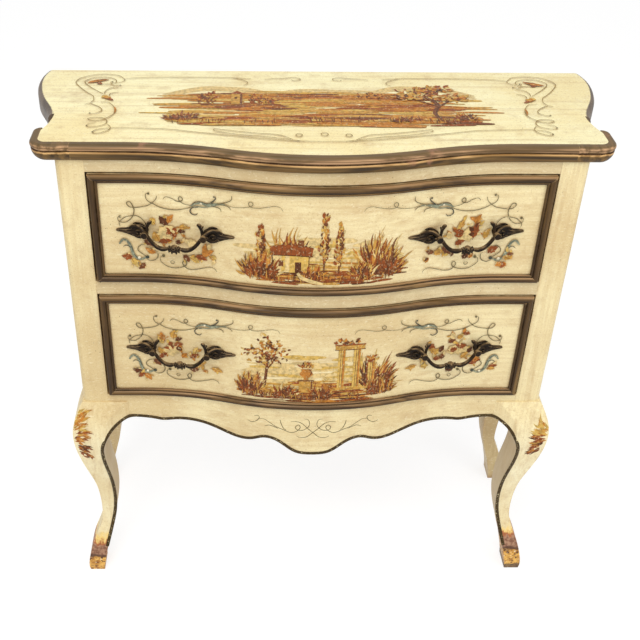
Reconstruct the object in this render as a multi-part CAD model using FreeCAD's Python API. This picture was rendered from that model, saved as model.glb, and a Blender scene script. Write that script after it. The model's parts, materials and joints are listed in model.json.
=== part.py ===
import FreeCAD, Part
import math
import os

os.makedirs("parts", exist_ok=True)

# Driving dimensions in millimetres: X to the right, Y to the back, Z up.
# The hollows of the serpentine front lie on Y = 0 while the pieces are drawn.

# Case
total_height = 853.0
case_width = 754.0
case_depth = 256.0
rear_flare = 15.0
leg_height = 388.0
post_width = 41.0
front_frame_depth = 31.0
front_corner_round = 9.0
rear_post_width = 44.0
rear_post_depth = 36.0
side_thickness = 16.0
side_bow = 4.0
back_thickness = 6.0
top_rail_height = 20.0
middle_rail_height = 23.0
back_rail_height = 26.0
back_rail_depth = 24.0

# Serpentine line of the front
bow_depth = 38.0
bow_half_wave_share = 0.7294

# Top
top_thickness = 26.0
top_back_overhang = 5.0
ear_overhang = 20.5
ear_round = 12.0
ear_length = 38.0
moulding_projection = 12.0
seam_inset = 25.0
side_edge_round = 10.0
side_edge_root = 4.0

# Apron and knee brackets
apron_thickness = 24.0
apron_lip = 15.0
bracket_reach = 32.0
bracket_tuck = 2.0
bracket_thickness = 20.0
bracket_end_drop = 32.0
bracket_foot_drop = 82.0
side_apron_drop = 46.0
side_apron_end_drop = 32.0
corner_block_width = 26.0
corner_block_depth = 24.0
corner_block_height = 42.0

# Drawers
upper_front_share = 0.48
drawer_gap_side = 3.0
drawer_gap_top = 3.0
drawer_gap_bottom = 1.0
front_thickness = 20.0
drawer_side_thickness = 12.0
drawer_side_inset = 1.5
drawer_side_lowering = 6.0
drawer_back_clear = 18.0
bottom_thickness = 5.0
bottom_height = 8.0
groove_depth = 5.0
trim_width = 13.0
trim_projection = 7.0

# Drawer supports
runner_thickness = 26.0
runner_width = 46.0
runner_clear = 0.3
guide_height = 14.0
guide_clear = 1.5
kicker_clear = 3.0
stop_width = 30.0
stop_depth = 14.0
stop_height = 5.0
stop_clear = 0.3
stop_inset = 103.0

# Pulls
pull_inset = 36.0
pull_spacing = 86.0
pull_reach = 43.0
pull_standoff = 17.0
plate_thickness = 4.0
plate_half_height = 14.0
boss_diameter = 17.0
boss_projection = 8.0
post_diameter = 6.0
post_head_diameter = 10.0
post_head_length = 9.0
post_tail = 3.0
pin_diameter = 4.0
bail_diameter = 6.4
bail_drop = 22.0
shoulder_clear = 0.5
knop_length = 26.0
knop_diameter = 11.0
nut_sides = 6
nut_across_flats = 10.0
nut_thickness = 5.0
nut_seat_diameter = 16.0
nut_seat_depth = 1.0

# Fasteners and fits
dowel_diameter = 12.0
dowel_length = 60.0
screw_diameter = 4.0
screw_head_diameter = 8.0
screw_head_height = 3.0
screw_bite = 13.0
back_screw_length = 24.0
hole_clear = 0.1
pin_clear = 0.05
groove_clear = 0.1

# Leg outline: share of the leg's height, reach outside the post's corner,
# inner face and back face inside the same corner.
leg_outer = [(0.0, 20), (0.05, 21), (0.1, 17.5), (0.15, 12), (0.19, 5.5), (0.23, -1), (0.27, -6),
             (0.33, -8.5), (0.41, -8), (0.51, -3.5), (0.61, 5.5), (0.72, 15), (0.82, 20), (0.9, 18),
             (0.96, 10), (1.0, 2)]
leg_inner = [(0.0, 6), (0.05, 8), (0.1, 12), (0.15, 16.5), (0.19, 21), (0.23, 25), (0.27, 29),
             (0.33, 33.5), (0.41, 36), (0.49, 35.5), (0.56, 33.5), (0.63, 30), (0.7, 27), (0.77, 27),
             (0.83, 31), (0.9, 37), (1.0, 41)]
leg_back = [(0.0, 20), (0.08, 25), (0.15, 31), (0.2, 36), (0.25, 42), (0.33, 51), (0.41, 55),
            (0.5, 55), (0.6, 52), (0.7, 48), (0.8, 45), (0.9, 42), (1.0, 40)]

# Side of the top behind the ear: reach outside the case's front corner, share of the top's depth.
top_side = [(17.5, 0.175), (13.5, 0.235), (11, 0.3), (10.5, 0.36), (14, 0.425), (24, 0.52), (33.5, 0.61),
            (40.5, 0.71), (44.5, 0.81), (44.5, 0.9), (38.5, 1.0)]
# Place of the waist in the line of the side, counted from the ear's end.
waist_index = 4

# Apron outline: share of the apron's half width and drop below the leg's top.
apron_lobe = [(0.276, 50), (0.16, 63), (0.095, 79), (0.0, 83)]
apron_wave = [(0.276, 50), (0.38, 59), (0.475, 51), (0.56, 41), (0.68, 35), (0.81, 40)]
apron_arch = [(0.81, 40), (0.9, 34), (1.0, 32)]

# Pull plate outline: share of the reach from the post towards the tip, share of the half height.
plate_upper_shares = [(1.0, 0.0), (0.62, 0.5), (0.25, 0.95), (-0.15, 0.8), (-0.33, 0.2)]
plate_lower_shares = [(-0.33, 0.2), (-0.3, -0.5), (0.05, -1.0), (0.45, -0.65), (1.0, 0.0)]

# Bail line from the middle to the right pin: share of the pin's reach, share of the drop.
bail_sweep_shares = [(0.0, 1.0), (0.27, 0.985), (0.52, 0.87), (0.74, 0.62), (0.91, 0.28), (1.0, 0.0)]

# Places worked out from the sizes above
case_half = case_width / 2
rear_half = case_half + rear_flare
ear_half = case_half + ear_overhang
moulding_seam = case_half - seam_inset
bow_half_wave = bow_half_wave_share * case_half
bow_radius = (bow_half_wave ** 2 + bow_depth ** 2) / (4 * bow_depth)
opening_half = case_half - post_width
apron_half = opening_half - bracket_reach
drawer_half = opening_half - drawer_gap_side
box_half = drawer_half - drawer_side_inset
pull_offset = drawer_half - pull_inset - pull_reach - pull_spacing / 2
stop_offset = drawer_half - stop_inset
runner_inner = opening_half + 0.5 * post_width - runner_width
rear_opening_half = rear_half - rear_post_width

rear_post_front = case_depth - rear_post_depth
back_panel_front = case_depth - back_thickness
back_rail_front = back_panel_front - back_rail_depth
drawer_back = case_depth - drawer_back_clear
top_back = case_depth + top_back_overhang
depth_centre = (top_back - bow_depth - moulding_projection) / 2

top_underside = total_height - top_thickness
top_rail_low = top_underside - top_rail_height
back_rail_low = top_underside - back_rail_height
apron_top = leg_height + apron_lip
lower_low = apron_top + drawer_gap_bottom
upper_high = top_rail_low - drawer_gap_top
between_fronts = drawer_gap_bottom + middle_rail_height + drawer_gap_top
fronts_height = upper_high - lower_low - between_fronts
upper_low = upper_high - upper_front_share * fronts_height
lower_high = upper_low - between_fronts
middle_rail_top = upper_low - drawer_gap_bottom
kicker_low = upper_high - drawer_side_lowering + kicker_clear


def vector(x, y, z):
    return FreeCAD.Vector(x, y, z)


def save(name, solids):
    """Write one node, moved so that the middle of the depth lies on Y = 0."""
    shape = Part.makeCompound(solids) if isinstance(solids, list) else solids
    moved = shape.copy()
    moved.translate(vector(0, -depth_centre, 0))
    moved.exportStep("parts/" + name + ".step")


def block(x_low, x_high, y_low, y_high, z_low, z_high):
    return Part.makeBox(x_high - x_low, y_high - y_low, z_high - z_low, vector(x_low, y_low, z_low))


def mirrored(solid):
    return solid.mirror(vector(0, 0, 0), vector(1, 0, 0))


def cylinder(start, direction, radius, length):
    return Part.makeCylinder(radius, length, start, direction)


def line(first, last):
    return Part.makeLine(first, last)


def arc(first, middle, last):
    return Part.Arc(first, middle, last).toShape()


def curve(points):
    spline = Part.BSplineCurve()
    spline.interpolate(points)
    return spline.toShape()


def face_of(edges):
    return Part.Face(Part.Wire(edges))


# Serpentine line: a forward arc in the middle, two hollow arcs and two flat ends.
# A positive offset lies in front of the line.
def front_y(x, offset=0.0):
    joint_x = bow_half_wave * (bow_radius + offset) / (2 * bow_radius)
    if abs(x) <= joint_x:
        return bow_radius - bow_depth - math.sqrt((bow_radius + offset) ** 2 - x ** 2)
    if abs(x) < bow_half_wave:
        return math.sqrt((bow_radius - offset) ** 2 - (abs(x) - bow_half_wave) ** 2) - bow_radius
    return -offset


def front_point(x, offset, z):
    return vector(x, front_y(x, offset), z)


def front_edges(half_width, offset, z):
    joint_x = bow_half_wave * (bow_radius + offset) / (2 * bow_radius)
    ends = [joint_x, bow_half_wave, half_width]
    stations = [-x for x in reversed(ends)] + ends
    edges = []
    for first, last in zip(stations, stations[1:]):
        points = [front_point(x, offset, z) for x in (first, (first + last) / 2, last)]
        flat = min(abs(first), abs(last)) >= bow_half_wave
        edges.append(line(points[0], points[2]) if flat else arc(*points))
    return edges


def flat_backed(half_width, z_low, z_high, offset, back):
    """Block with a serpentine front and a flat back."""
    left_back = vector(-half_width, back, z_low)
    right_back = vector(half_width, back, z_low)
    edges = front_edges(half_width, offset, z_low)
    edges.append(line(front_point(half_width, offset, z_low), right_back))
    edges.append(line(right_back, left_back))
    edges.append(line(left_back, front_point(-half_width, offset, z_low)))
    return face_of(edges).extrude(vector(0, 0, z_high - z_low))


def curved_board(half_width, z_low, z_high, thickness):
    """Board with a serpentine front and a back that runs parallel to it."""
    board = flat_backed(half_width, z_low, z_high, 0.0, case_depth)
    behind = flat_backed(half_width + 1, z_low - 1, z_high + 1, -thickness, case_depth + 1)
    return board.cut(behind)


# Top board with ears at the front corners, waists and bulges at the sides
def ear_edges(z):
    """Round front corner and straight side of the right ear."""
    centre = vector(ear_half - ear_round, ear_round, z)
    slant = ear_round * math.sqrt(0.5)
    corner = arc(vector(centre.x, 0, z), centre + vector(slant, -slant, 0), vector(ear_half, ear_round, z))
    return [corner, line(vector(ear_half, ear_round, z), vector(ear_half, ear_length, z))]


def moulded_edges(z):
    """Moulded edge of the top, from the left ear's end round the front to the right ear's end."""
    right = ear_edges(z)
    left = [mirrored(edge) for edge in reversed(right)]
    return left + front_edges(ear_half - ear_round, 0.0, z) + right


def side_edging(points):
    """Rounded edge outside the right side of the top, from the waist to the back."""
    path = Part.Wire([curve(points)])
    heading = path.Edges[0].tangentAt(path.Edges[0].FirstParameter)
    outward = vector(heading.y, -heading.x, 0)

    def place(out, up):
        return points[0] + outward * out + vector(0, 0, up)

    shoulder = top_thickness - side_edge_round
    slant = side_edge_round * math.sqrt(0.5)
    section = Part.Wire([
        line(place(-side_edge_root, 0), place(side_edge_round, 0)),
        line(place(side_edge_round, 0), place(side_edge_round, shoulder)),
        arc(place(side_edge_round, shoulder), place(slant, shoulder + slant), place(0, top_thickness)),
        line(place(0, top_thickness), place(-side_edge_root, top_thickness)),
        line(place(-side_edge_root, top_thickness), place(-side_edge_root, 0))])
    strip = path.makePipeShell([section], True, False)
    return strip.common(block(0, 2 * case_width, 0, top_back, 0, 2 * total_height))


def make_top_board():
    z = top_underside
    points = [vector(ear_half, ear_length, z)]
    points += [vector(case_half + reach, share * top_back, z) for reach, share in top_side]
    side = curve(points)
    back_edge = line(vector(-points[-1].x, top_back, z), points[-1])
    sheet = face_of([mirrored(side)] + moulded_edges(z) + [side, back_edge])
    board = sheet.extrude(vector(0, 0, top_thickness))
    edging = side_edging(points[waist_index:])
    return board.multiFuse([edging, mirrored(edging)]).removeSplitter()


def heading_at(edge, first, last):
    """Unit direction in which an arc or line leaves its first point."""
    heading = last - first
    if hasattr(edge.Curve, "Center"):
        radial = first - edge.Curve.Center
        tangent = vector(-radial.y, radial.x, 0)
        heading = tangent if tangent.dot(heading) > 0 else tangent * -1
    return heading.normalize()


def swept_strip(edges, start, profile):
    """Strip along arcs and lines in plan; its outside is on the right of the path."""
    pieces = []
    first = start
    for edge in edges:
        ends = [vertex.Point for vertex in (edge.Vertexes[0], edge.Vertexes[-1])]
        last = max(ends, key=lambda point: point.distanceToPoint(first))
        heading = heading_at(edge, first, last)
        outward = vector(heading.y, -heading.x, 0)
        base = vector(first.x, first.y, first.z)
        section = Part.Face(profile(lambda out, up: base + outward * out + vector(0, 0, up)))
        if hasattr(edge.Curve, "Center"):
            centre = edge.Curve.Center
            turn = 1 if heading.cross(centre - first).z > 0 else -1
            angle = math.degrees(edge.Length / edge.Curve.Radius)
            piece = section.revolve(centre, vector(0, 0, turn), angle)
        else:
            piece = section.extrude(heading * edge.Length)
        pieces.append(piece if piece.Volume > 0 else piece.reversed())
        first = last
    return pieces[0].multiFuse(pieces[1:]).removeSplitter()


def moulding_profile(place):
    """Ovolo that draws in towards the underside, quirk, and a bead above."""
    nose = moulding_projection
    height = top_thickness
    return Part.Wire([
        line(place(0, 0), place(0.3 * nose, 0)),
        arc(place(0.3 * nose, 0), place(0.74 * nose, 0.24 * height), place(0.92 * nose, 0.58 * height)),
        line(place(0.92 * nose, 0.58 * height), place(0.76 * nose, 0.62 * height)),
        arc(place(0.76 * nose, 0.62 * height), place(nose, 0.78 * height), place(0.55 * nose, height)),
        line(place(0.55 * nose, height), place(0, height)),
        line(place(0, height), place(0, 0))])


def make_top_moulding():
    """Edge moulding round the front and the ears of the top, in three lengths with rounded ends."""
    z = top_underside
    end = vector(ear_half, ear_length, z)
    run = swept_strip(moulded_edges(z), vector(-ear_half, ear_length, z), moulding_profile)
    section = Part.Face(moulding_profile(lambda out, up: end + vector(out, 0, up)))
    knuckle = section.revolve(end, vector(0, 0, 1), 90)
    ring = run.multiFuse([knuckle, mirrored(knuckle)]).removeSplitter()
    middle = block(-moulding_seam, moulding_seam, -case_depth, case_depth, 0, 2 * total_height)
    right_half = block(0, case_width, -case_depth, case_depth, 0, 2 * total_height)
    ends = ring.cut(middle)
    return ring.common(middle), ends.cut(right_half), ends.common(right_half)


# Case boards
def make_front_post():
    outer = flat_backed(case_half, leg_height, top_underside, 0.0, front_frame_depth)
    post = outer.common(block(opening_half, case_half, -bow_depth, front_frame_depth,
                              leg_height, top_underside))
    corner_y = front_y(case_half)
    edges = [edge for edge in post.Edges
             if abs(edge.CenterOfMass.x - case_half) < 0.1 and abs(edge.CenterOfMass.y - corner_y) < 0.1]
    return post.makeFillet(front_corner_round, edges)


def make_rear_post():
    return block(rear_half - rear_post_width, rear_half, rear_post_front, case_depth,
                 leg_height, top_underside)


def side_plan(z_low, z_high):
    """Bowed side board in plan, between the front post and the rear post."""
    front = vector(case_half, front_frame_depth, z_low)
    back = vector(rear_half, rear_post_front, z_low)
    chord = back - front
    outward = vector(chord.y, -chord.x, 0).normalize()
    middle = (front + back) * 0.5 + outward * side_bow
    inward = vector(-side_thickness, 0, 0)
    edges = [arc(front, middle, back),
             line(back, back + inward),
             arc(back + inward, middle + inward, front + inward),
             line(front + inward, front)]
    return face_of(edges).extrude(vector(0, 0, z_high - z_low))


side_apron_front = front_frame_depth + bracket_reach
side_apron_back = rear_post_front - bracket_reach


def make_side_panel():
    """Side board: full height between the posts, with a curved drop between the brackets."""
    low = leg_height - side_apron_drop
    end_low = leg_height - side_apron_end_drop
    upper = side_plan(leg_height, top_underside)
    middle_y = (side_apron_front + side_apron_back) / 2
    reach = 2 * rear_half
    front_low = vector(0, side_apron_front, end_low)
    back_low = vector(0, side_apron_back, end_low)
    front_high = vector(0, side_apron_front, leg_height)
    back_high = vector(0, side_apron_back, leg_height)
    outline = face_of([arc(front_low, vector(0, middle_y, low), back_low),
                       line(back_low, back_high),
                       line(back_high, front_high),
                       line(front_high, front_low)])
    lower = side_plan(low, leg_height).common(outline.extrude(vector(reach, 0, 0)))
    return upper.fuse(lower).removeSplitter()


def apron_point(share, drop):
    return vector(share * apron_half, 0, leg_height - drop)


def make_apron_rail():
    """Bottom rail whose lower edge is a middle lobe, two waves and two arches."""
    right_lobe = [apron_point(share, drop) for share, drop in apron_lobe]
    left_lobe = [vector(-point.x, 0, point.z) for point in right_lobe[-2::-1]]
    lobe = curve(right_lobe + left_lobe)
    right = [curve([apron_point(share, drop) for share, drop in points])
             for points in (apron_wave, apron_arch)]
    left = [mirrored(edge) for edge in right]
    end_low = leg_height - apron_arch[-1][1]
    frame = [vector(apron_half, 0, end_low), vector(apron_half, 0, apron_top),
             vector(-apron_half, 0, apron_top), vector(-apron_half, 0, end_low)]
    outline = [line(first, last) for first, last in zip(frame, frame[1:])]
    edges = Part.__sortEdges__([lobe] + right + left + outline)
    sheet = face_of(edges)
    sheet.translate(vector(0, -case_depth, 0))
    scalloped = sheet.extrude(vector(0, 2 * case_depth, 0))
    lower = curved_board(apron_half, 0.0, apron_top, apron_thickness).common(scalloped)
    upper = curved_board(opening_half, leg_height, apron_top, apron_thickness)
    return lower.fuse(upper).removeSplitter()


# Legs: two sawn outlines, one seen from the front and one from the side
def leg_outline(outer, inner, place):
    """Face between two curves; place turns a reach and a height into a point."""
    outer_points = [place(reach, share * leg_height) for share, reach in outer]
    inner_points = [place(-reach, share * leg_height) for share, reach in inner]
    return face_of([curve(outer_points),
                    line(outer_points[-1], inner_points[-1]),
                    curve(inner_points),
                    line(inner_points[0], outer_points[0])])


leg_span = 3 * post_width + bow_depth


def leg_front_sheet(corner_x, y_low):
    """Leg as seen from the front, drawn out along Y."""
    sheet = leg_outline(leg_outer, leg_inner, lambda reach, z: vector(corner_x + reach, y_low, z))
    return sheet.extrude(vector(0, 2 * leg_span, 0))


front_leg_face = front_y(case_half - post_width / 2)


def front_leg_depth(back):
    """Front leg as seen from the side, drawn out along X."""
    sheet = leg_outline(leg_outer, back, lambda reach, z: vector(0, front_leg_face - reach, z))
    return sheet.extrude(vector(2 * case_half, 0, 0))


def make_front_leg():
    return leg_front_sheet(case_half, -leg_span).common(front_leg_depth(leg_back))


def make_rear_leg():
    """Rear leg: same front outline, flat at the back."""
    depths = [(share, outer + back) for (share, outer), back in
              zip(leg_outer, [interpolated(leg_back, share) for share, reach in leg_outer])]
    flat = [(0.0, 0), (1.0, 0)]
    sheet = leg_outline(flat, depths, lambda reach, z: vector(0, case_depth + reach, z))
    seen_from_side = sheet.extrude(vector(2 * rear_half, 0, 0))
    return leg_front_sheet(rear_half, case_depth - leg_span).common(seen_from_side)


def interpolated(stations, share):
    for (low, first), (high, last) in zip(stations, stations[1:]):
        if low <= share <= high:
            return first + (last - first) * (share - low) / (high - low)


def bracket_sheet(near, far, direction, place):
    """Wing outline: deep at the leg, shallow at the apron, with a hollow lower edge."""
    foot = leg_height - bracket_foot_drop
    end = leg_height - bracket_end_drop
    middle = place(near + 0.42 * (far - near), end - 0.32 * (end - foot))
    sheet = face_of([arc(place(near, foot), middle, place(far, end)),
                     line(place(far, end), place(far, leg_height)),
                     line(place(far, leg_height), place(near, leg_height)),
                     line(place(near, leg_height), place(near, foot))])
    return sheet.extrude(direction)


def make_front_bracket(leg):
    """Wing between the front leg and the apron."""
    near = case_half - leg_inner[-3][1] + bracket_tuck
    sheet = bracket_sheet(near, apron_half, vector(0, 2 * leg_span, 0),
                          lambda x, z: vector(x, -leg_span, z))
    knee = front_leg_face - max(reach for share, reach in leg_outer)
    plan = face_of(polygon([vector(apron_half, front_y(apron_half), 0), vector(near, knee, 0),
                            vector(near, knee + bracket_thickness + bow_depth, 0),
                            vector(apron_half, front_y(apron_half) + bracket_thickness, 0)]))
    deep = [(share, reach + bow_depth) for share, reach in leg_back]
    wing = sheet.common(plan.extrude(vector(0, 0, leg_height))).common(front_leg_depth(deep))
    return wing.cut(leg)


def polygon(points):
    return [line(first, last) for first, last in zip(points, points[1:] + points[:1])]


def side_face_x(y):
    """Outer face of the bowed side board at a depth y."""
    board = side_plan(leg_height, leg_height + 1)
    ray = line(vector(0, y, leg_height + 0.5), vector(2 * case_half, y, leg_height + 0.5))
    return max(vertex.X for vertex in board.common(ray).Vertexes)


def make_side_bracket(leg, corner_x, leg_face, apron_end):
    """Wing between a leg and the side board's lower part."""
    near = leg_face
    sheet = bracket_sheet(near, apron_end, vector(2 * leg_span, 0, 0),
                          lambda y, z: vector(corner_x - leg_span, y, z))
    knee = corner_x + max(reach for share, reach in leg_outer)
    outer_x = side_face_x(apron_end)
    plan = face_of(polygon([vector(outer_x, apron_end, 0), vector(knee, near, 0),
                            vector(knee - bracket_thickness - side_thickness, near, 0),
                            vector(outer_x - side_thickness, apron_end, 0)]))
    deep = [(share, reach + bow_depth) for share, reach in leg_inner]
    outer_sheet = leg_outline(leg_outer, deep,
                              lambda reach, z: vector(corner_x + reach, near - leg_span, z))
    wing = sheet.common(plan.extrude(vector(0, 0, leg_height)))
    return wing.common(outer_sheet.extrude(vector(0, 2 * leg_span, 0))).cut(leg)


def make_corner_block():
    """Glue block behind the apron's end and the knee bracket, up to the runner."""
    front = front_y(apron_half) + apron_thickness
    high = lower_low - runner_clear - runner_thickness
    return block(apron_half - corner_block_width / 2, apron_half + corner_block_width / 2,
                 front, front + corner_block_depth, high - corner_block_height, high)


# Drawer supports
def make_runner(top):
    low = top - runner_thickness
    outer = runner_inner + runner_width
    bed = block(runner_inner, outer, front_frame_depth, rear_post_front, low, top)
    guide_face = box_half + guide_clear
    guide = block(guide_face, outer, front_frame_depth, rear_post_front, top, top + guide_height)
    return bed.fuse(guide).removeSplitter()


def make_kicker():
    return block(runner_inner, runner_inner + runner_width, front_frame_depth, rear_post_front,
                 kicker_low, top_underside)


def make_stop(x, rail_top):
    front = front_y(x + stop_width / 2, -front_thickness) + stop_clear
    return block(x - stop_width / 2, x + stop_width / 2, front, front + stop_depth,
                 rail_top, rail_top + stop_height)


# Drawers
def trim_profile(place, root=0.0):
    """Small bead at the inner edge and a larger bead outside it; root lies behind the face."""
    deep = trim_projection
    wide = trim_width
    return Part.Wire([
        line(place(-root, 0), place(0.3 * deep, 0)),
        arc(place(0.3 * deep, 0), place(0.62 * deep, 0.13 * wide), place(0.42 * deep, 0.28 * wide)),
        arc(place(0.42 * deep, 0.28 * wide), place(deep, 0.62 * wide), place(0.3 * deep, wide)),
        line(place(0.3 * deep, wide), place(-root, wide)),
        line(place(-root, wide), place(-root, 0))])


def mitre_prism(points):
    sheet = face_of(polygon([vector(x, -case_depth, z) for x, z in points]))
    return sheet.extrude(vector(0, 2 * case_depth, 0))


def make_trims(low, high):
    """Four mitred trims on the drawer front: top, bottom, left, right."""
    half = drawer_half
    inner = drawer_half - trim_width
    level = high - trim_width
    swept = swept_strip(front_edges(half, 0.0, level), front_point(-half, 0.0, level), trim_profile)
    top = swept.common(mitre_prism([(-half, high), (half, high), (inner, level), (-inner, level)]))
    bottom = top.mirror(vector(0, 0, (low + high) / 2), vector(0, 0, 1))
    slope = math.atan2(front_y(half) - front_y(inner), trim_width)
    along = vector(math.cos(slope), math.sin(slope), 0)
    outward = vector(math.sin(slope), -math.cos(slope), 0)
    base = front_point(inner, 0.0, low)
    profile = trim_profile(lambda out, across: base + outward * out + along * across, trim_projection / 4)
    upright = Part.Face(profile).extrude(vector(0, 0, high - low))
    behind = flat_backed(half + trim_width, low - 1, high + 1, 0.0, case_depth)
    mitre = mitre_prism([(half, low), (half, high), (inner, level), (inner, low + trim_width)])
    right = upright.cut(behind).common(mitre)
    return top, bottom, mirrored(right), right


def make_drawer_boards(low, high):
    """Front, left side, right side, back and bottom of one drawer."""
    side_top = high - drawer_side_lowering
    front = curved_board(drawer_half, low, high, front_thickness)
    behind_face = flat_backed(case_half, low, high, -front_thickness, case_depth)
    behind_groove = flat_backed(case_half, low, high, groove_depth - front_thickness, case_depth)
    floor = low + bottom_height
    inner = box_half - drawer_side_thickness
    bottom_half = inner + groove_depth
    sheet = block(-bottom_half, bottom_half, -bow_depth, drawer_back, floor, floor + bottom_thickness)
    bottom = sheet.common(behind_groove)
    groove = block(-bottom_half - groove_clear, bottom_half + groove_clear, -bow_depth, drawer_back,
                   floor - groove_clear, floor + bottom_thickness)
    groove_region = flat_backed(case_half, low, high, groove_depth + groove_clear - front_thickness,
                                case_depth)
    groove = groove.common(groove_region)
    front = front.cut(groove)
    side = block(inner, box_half, -bow_depth, drawer_back, low, side_top)
    side = side.common(behind_face).cut(groove)
    back = block(-inner, inner, drawer_back - drawer_side_thickness, drawer_back,
                 floor + bottom_thickness, side_top)
    return front, mirrored(side), side, back, bottom


# Pulls, drawn with the drawer's face on Y = 0 and the front towards -Y
def pull_turn(x):
    """Angle of the drawer's face at x, in degrees."""
    step = 0.01
    return math.degrees(math.atan2(front_y(x + step) - front_y(x - step), 2 * step))


def placed_pull(shape, x, z):
    placed = shape.copy()
    placed.rotate(vector(0, 0, 0), vector(0, 0, 1), pull_turn(x))
    placed.translate(front_point(x, 0.0, z))
    return placed


def plate_point(share, height):
    return vector(share * pull_reach, -plate_thickness, height * plate_half_height)


def make_plate():
    """Leaf-shaped end plate with a round boss, its tip to the right of the post."""
    upper = curve([plate_point(share, height) for share, height in plate_upper_shares])
    lower = curve([plate_point(share, height) for share, height in plate_lower_shares])
    leaf = face_of([upper, lower]).extrude(vector(0, 2 * plate_thickness, 0))
    boss = cylinder(vector(0, -boss_projection, 0), vector(0, 1, 0),
                    boss_diameter / 2, boss_projection + plate_thickness)
    return leaf.fuse(boss).removeSplitter()


def make_post(tail):
    """Threaded post with a round head, bored along the pull for the bail's pin."""
    x = pull_spacing / 2
    head_start = -pull_standoff - post_head_length / 2
    head = cylinder(vector(x, head_start, 0), vector(0, 1, 0), post_head_diameter / 2, post_head_length)
    shank_start = head_start + post_head_length
    shank = cylinder(vector(x, shank_start, 0), vector(0, 1, 0), post_diameter / 2, tail - shank_start)
    bore = cylinder(vector(x - post_head_diameter, -pull_standoff, 0), vector(1, 0, 0),
                    pin_diameter / 2 + pin_clear, 2 * post_head_diameter)
    return head.fuse(shank).removeSplitter().cut(bore)


def make_bail():
    """Hanging bail: two pins, two shoulders, a swept rod and a knop in the middle."""
    y = -pull_standoff
    outer = pull_spacing / 2 - post_head_diameter / 2 - shoulder_clear - bail_diameter / 2
    right = [vector(across * outer, y, -down * bail_drop) for across, down in bail_sweep_shares]
    left = [vector(-point.x, y, point.z) for point in right[:0:-1]]
    path = Part.Wire([curve(left + right)])
    heading = path.Edges[0].tangentAt(path.Edges[0].FirstParameter)
    start = Part.Wire(Part.makeCircle(bail_diameter / 2, left[0], heading))
    rod = path.makePipeShell([start], True, False)
    pieces = []
    for side, end in ((-1, left[0]), (1, right[-1])):
        pieces.append(Part.makeSphere(bail_diameter / 2, end))
        pieces.append(cylinder(end, vector(side, 0, 0), pin_diameter / 2,
                               post_head_diameter + bail_diameter / 2 + shoulder_clear))
    low = vector(0, y, -bail_drop)
    half = vector(knop_length / 2, 0, 0)
    bulge = vector(0, 0, -knop_diameter / 2)
    outline = face_of([arc(low - half, low + bulge, low + half), line(low + half, low - half)])
    pieces.append(outline.revolve(low, vector(1, 0, 0), 360))
    return rod.multiFuse(pieces).removeSplitter()


def make_nut(seat):
    """Hexagonal nut on the post, bearing on its seat inside the drawer."""
    corner = nut_across_flats / 2 / math.cos(math.pi / nut_sides)
    points = []
    for index in range(nut_sides):
        angle = 2 * math.pi * index / nut_sides
        points.append(vector(pull_spacing / 2 + corner * math.cos(angle), seat, corner * math.sin(angle)))
    body = face_of(polygon(points)).extrude(vector(0, nut_thickness, 0))
    hole = cylinder(vector(pull_spacing / 2, seat - 1, 0), vector(0, 1, 0),
                    post_diameter / 2 + hole_clear, nut_thickness + 2)
    return body.cut(hole)


def inner_face_depth(x, side):
    """Distance along a post from the face's tangent to the drawer front's inner face."""
    turn = math.radians(pull_turn(x))
    post_x = x + side * pull_spacing / 2 * math.cos(turn)
    post_y = front_y(x) + side * pull_spacing / 2 * math.sin(turn)
    depth = front_thickness
    for step in range(20):
        across = post_x - math.sin(turn) * depth
        depth += front_y(across, -front_thickness) - (post_y + math.cos(turn) * depth)
    return depth


def make_pull(x, z):
    """Plates, posts, nuts, bail and the cutters for one pull on the drawer's face."""
    plates, posts, nuts, cutters = [], [], [], []
    half = pull_spacing / 2
    bore = cylinder(vector(half, -pull_standoff, 0), vector(0, 1, 0), post_diameter / 2 + hole_clear,
                    pull_standoff + 2 * front_thickness)
    for side in (-1, 1):
        seat = inner_face_depth(x, side) - nut_seat_depth
        tail = seat + nut_thickness + post_tail
        recess = cylinder(vector(half, seat, 0), vector(0, 1, 0), nut_seat_diameter / 2, front_thickness)
        shapes = [make_post(tail), make_nut(seat), bore.fuse(recess)]
        for shape, group in zip(shapes, (posts, nuts, cutters)):
            turned = shape if side > 0 else mirrored(shape)
            group.append(placed_pull(turned, x, z))
        post_x = x + side * half * math.cos(math.radians(pull_turn(x)))
        plate = make_plate() if side > 0 else mirrored(make_plate())
        plates.append(placed_pull(plate, post_x, z).cut(cutters[-1]))
    return plates, posts, nuts, placed_pull(make_bail(), x, z), cutters


def make_drawer(name, low, high):
    """Write every piece of one drawer."""
    front, left, right, back, bottom = make_drawer_boards(low, high)
    plates, posts, nuts = [], [], []
    for side_name, x in (("left", -pull_offset), ("right", pull_offset)):
        pull_plates, pull_posts, pull_nuts, bail, cutters = make_pull(x, (low + high) / 2)
        plates += [plate.cut(front) for plate in pull_plates]
        posts += pull_posts
        nuts += pull_nuts
        for cutter in cutters:
            front = front.cut(cutter)
        save(name + "_" + side_name + "_bail", bail)
    save(name + "_drawer_front", front)
    save(name + "_drawer_side_left", left)
    save(name + "_drawer_side_right", right)
    save(name + "_drawer_back", back)
    save(name + "_drawer_bottom", bottom)
    for place, trim in zip(("top", "bottom", "left", "right"), make_trims(low, high)):
        save(name + "_trim_" + place, trim)
    save(name + "_pull_plates", plates)
    save(name + "_pull_posts", posts)
    save(name + "_pull_nuts", nuts)


# Fasteners
def make_screw(head, direction, length):
    """Screw with a plain round head; the head's outer end lies at the given point."""
    shank = cylinder(head, direction, screw_diameter / 2, length)
    cap = cylinder(head, direction, screw_head_diameter / 2, screw_head_height)
    return shank.fuse(cap).removeSplitter()


def screw_hole(head, direction, length):
    shank = cylinder(head, direction, screw_diameter / 2 + hole_clear, length)
    cap = cylinder(head, direction, screw_head_diameter / 2 + hole_clear, screw_head_height)
    return shank.fuse(cap)


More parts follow.
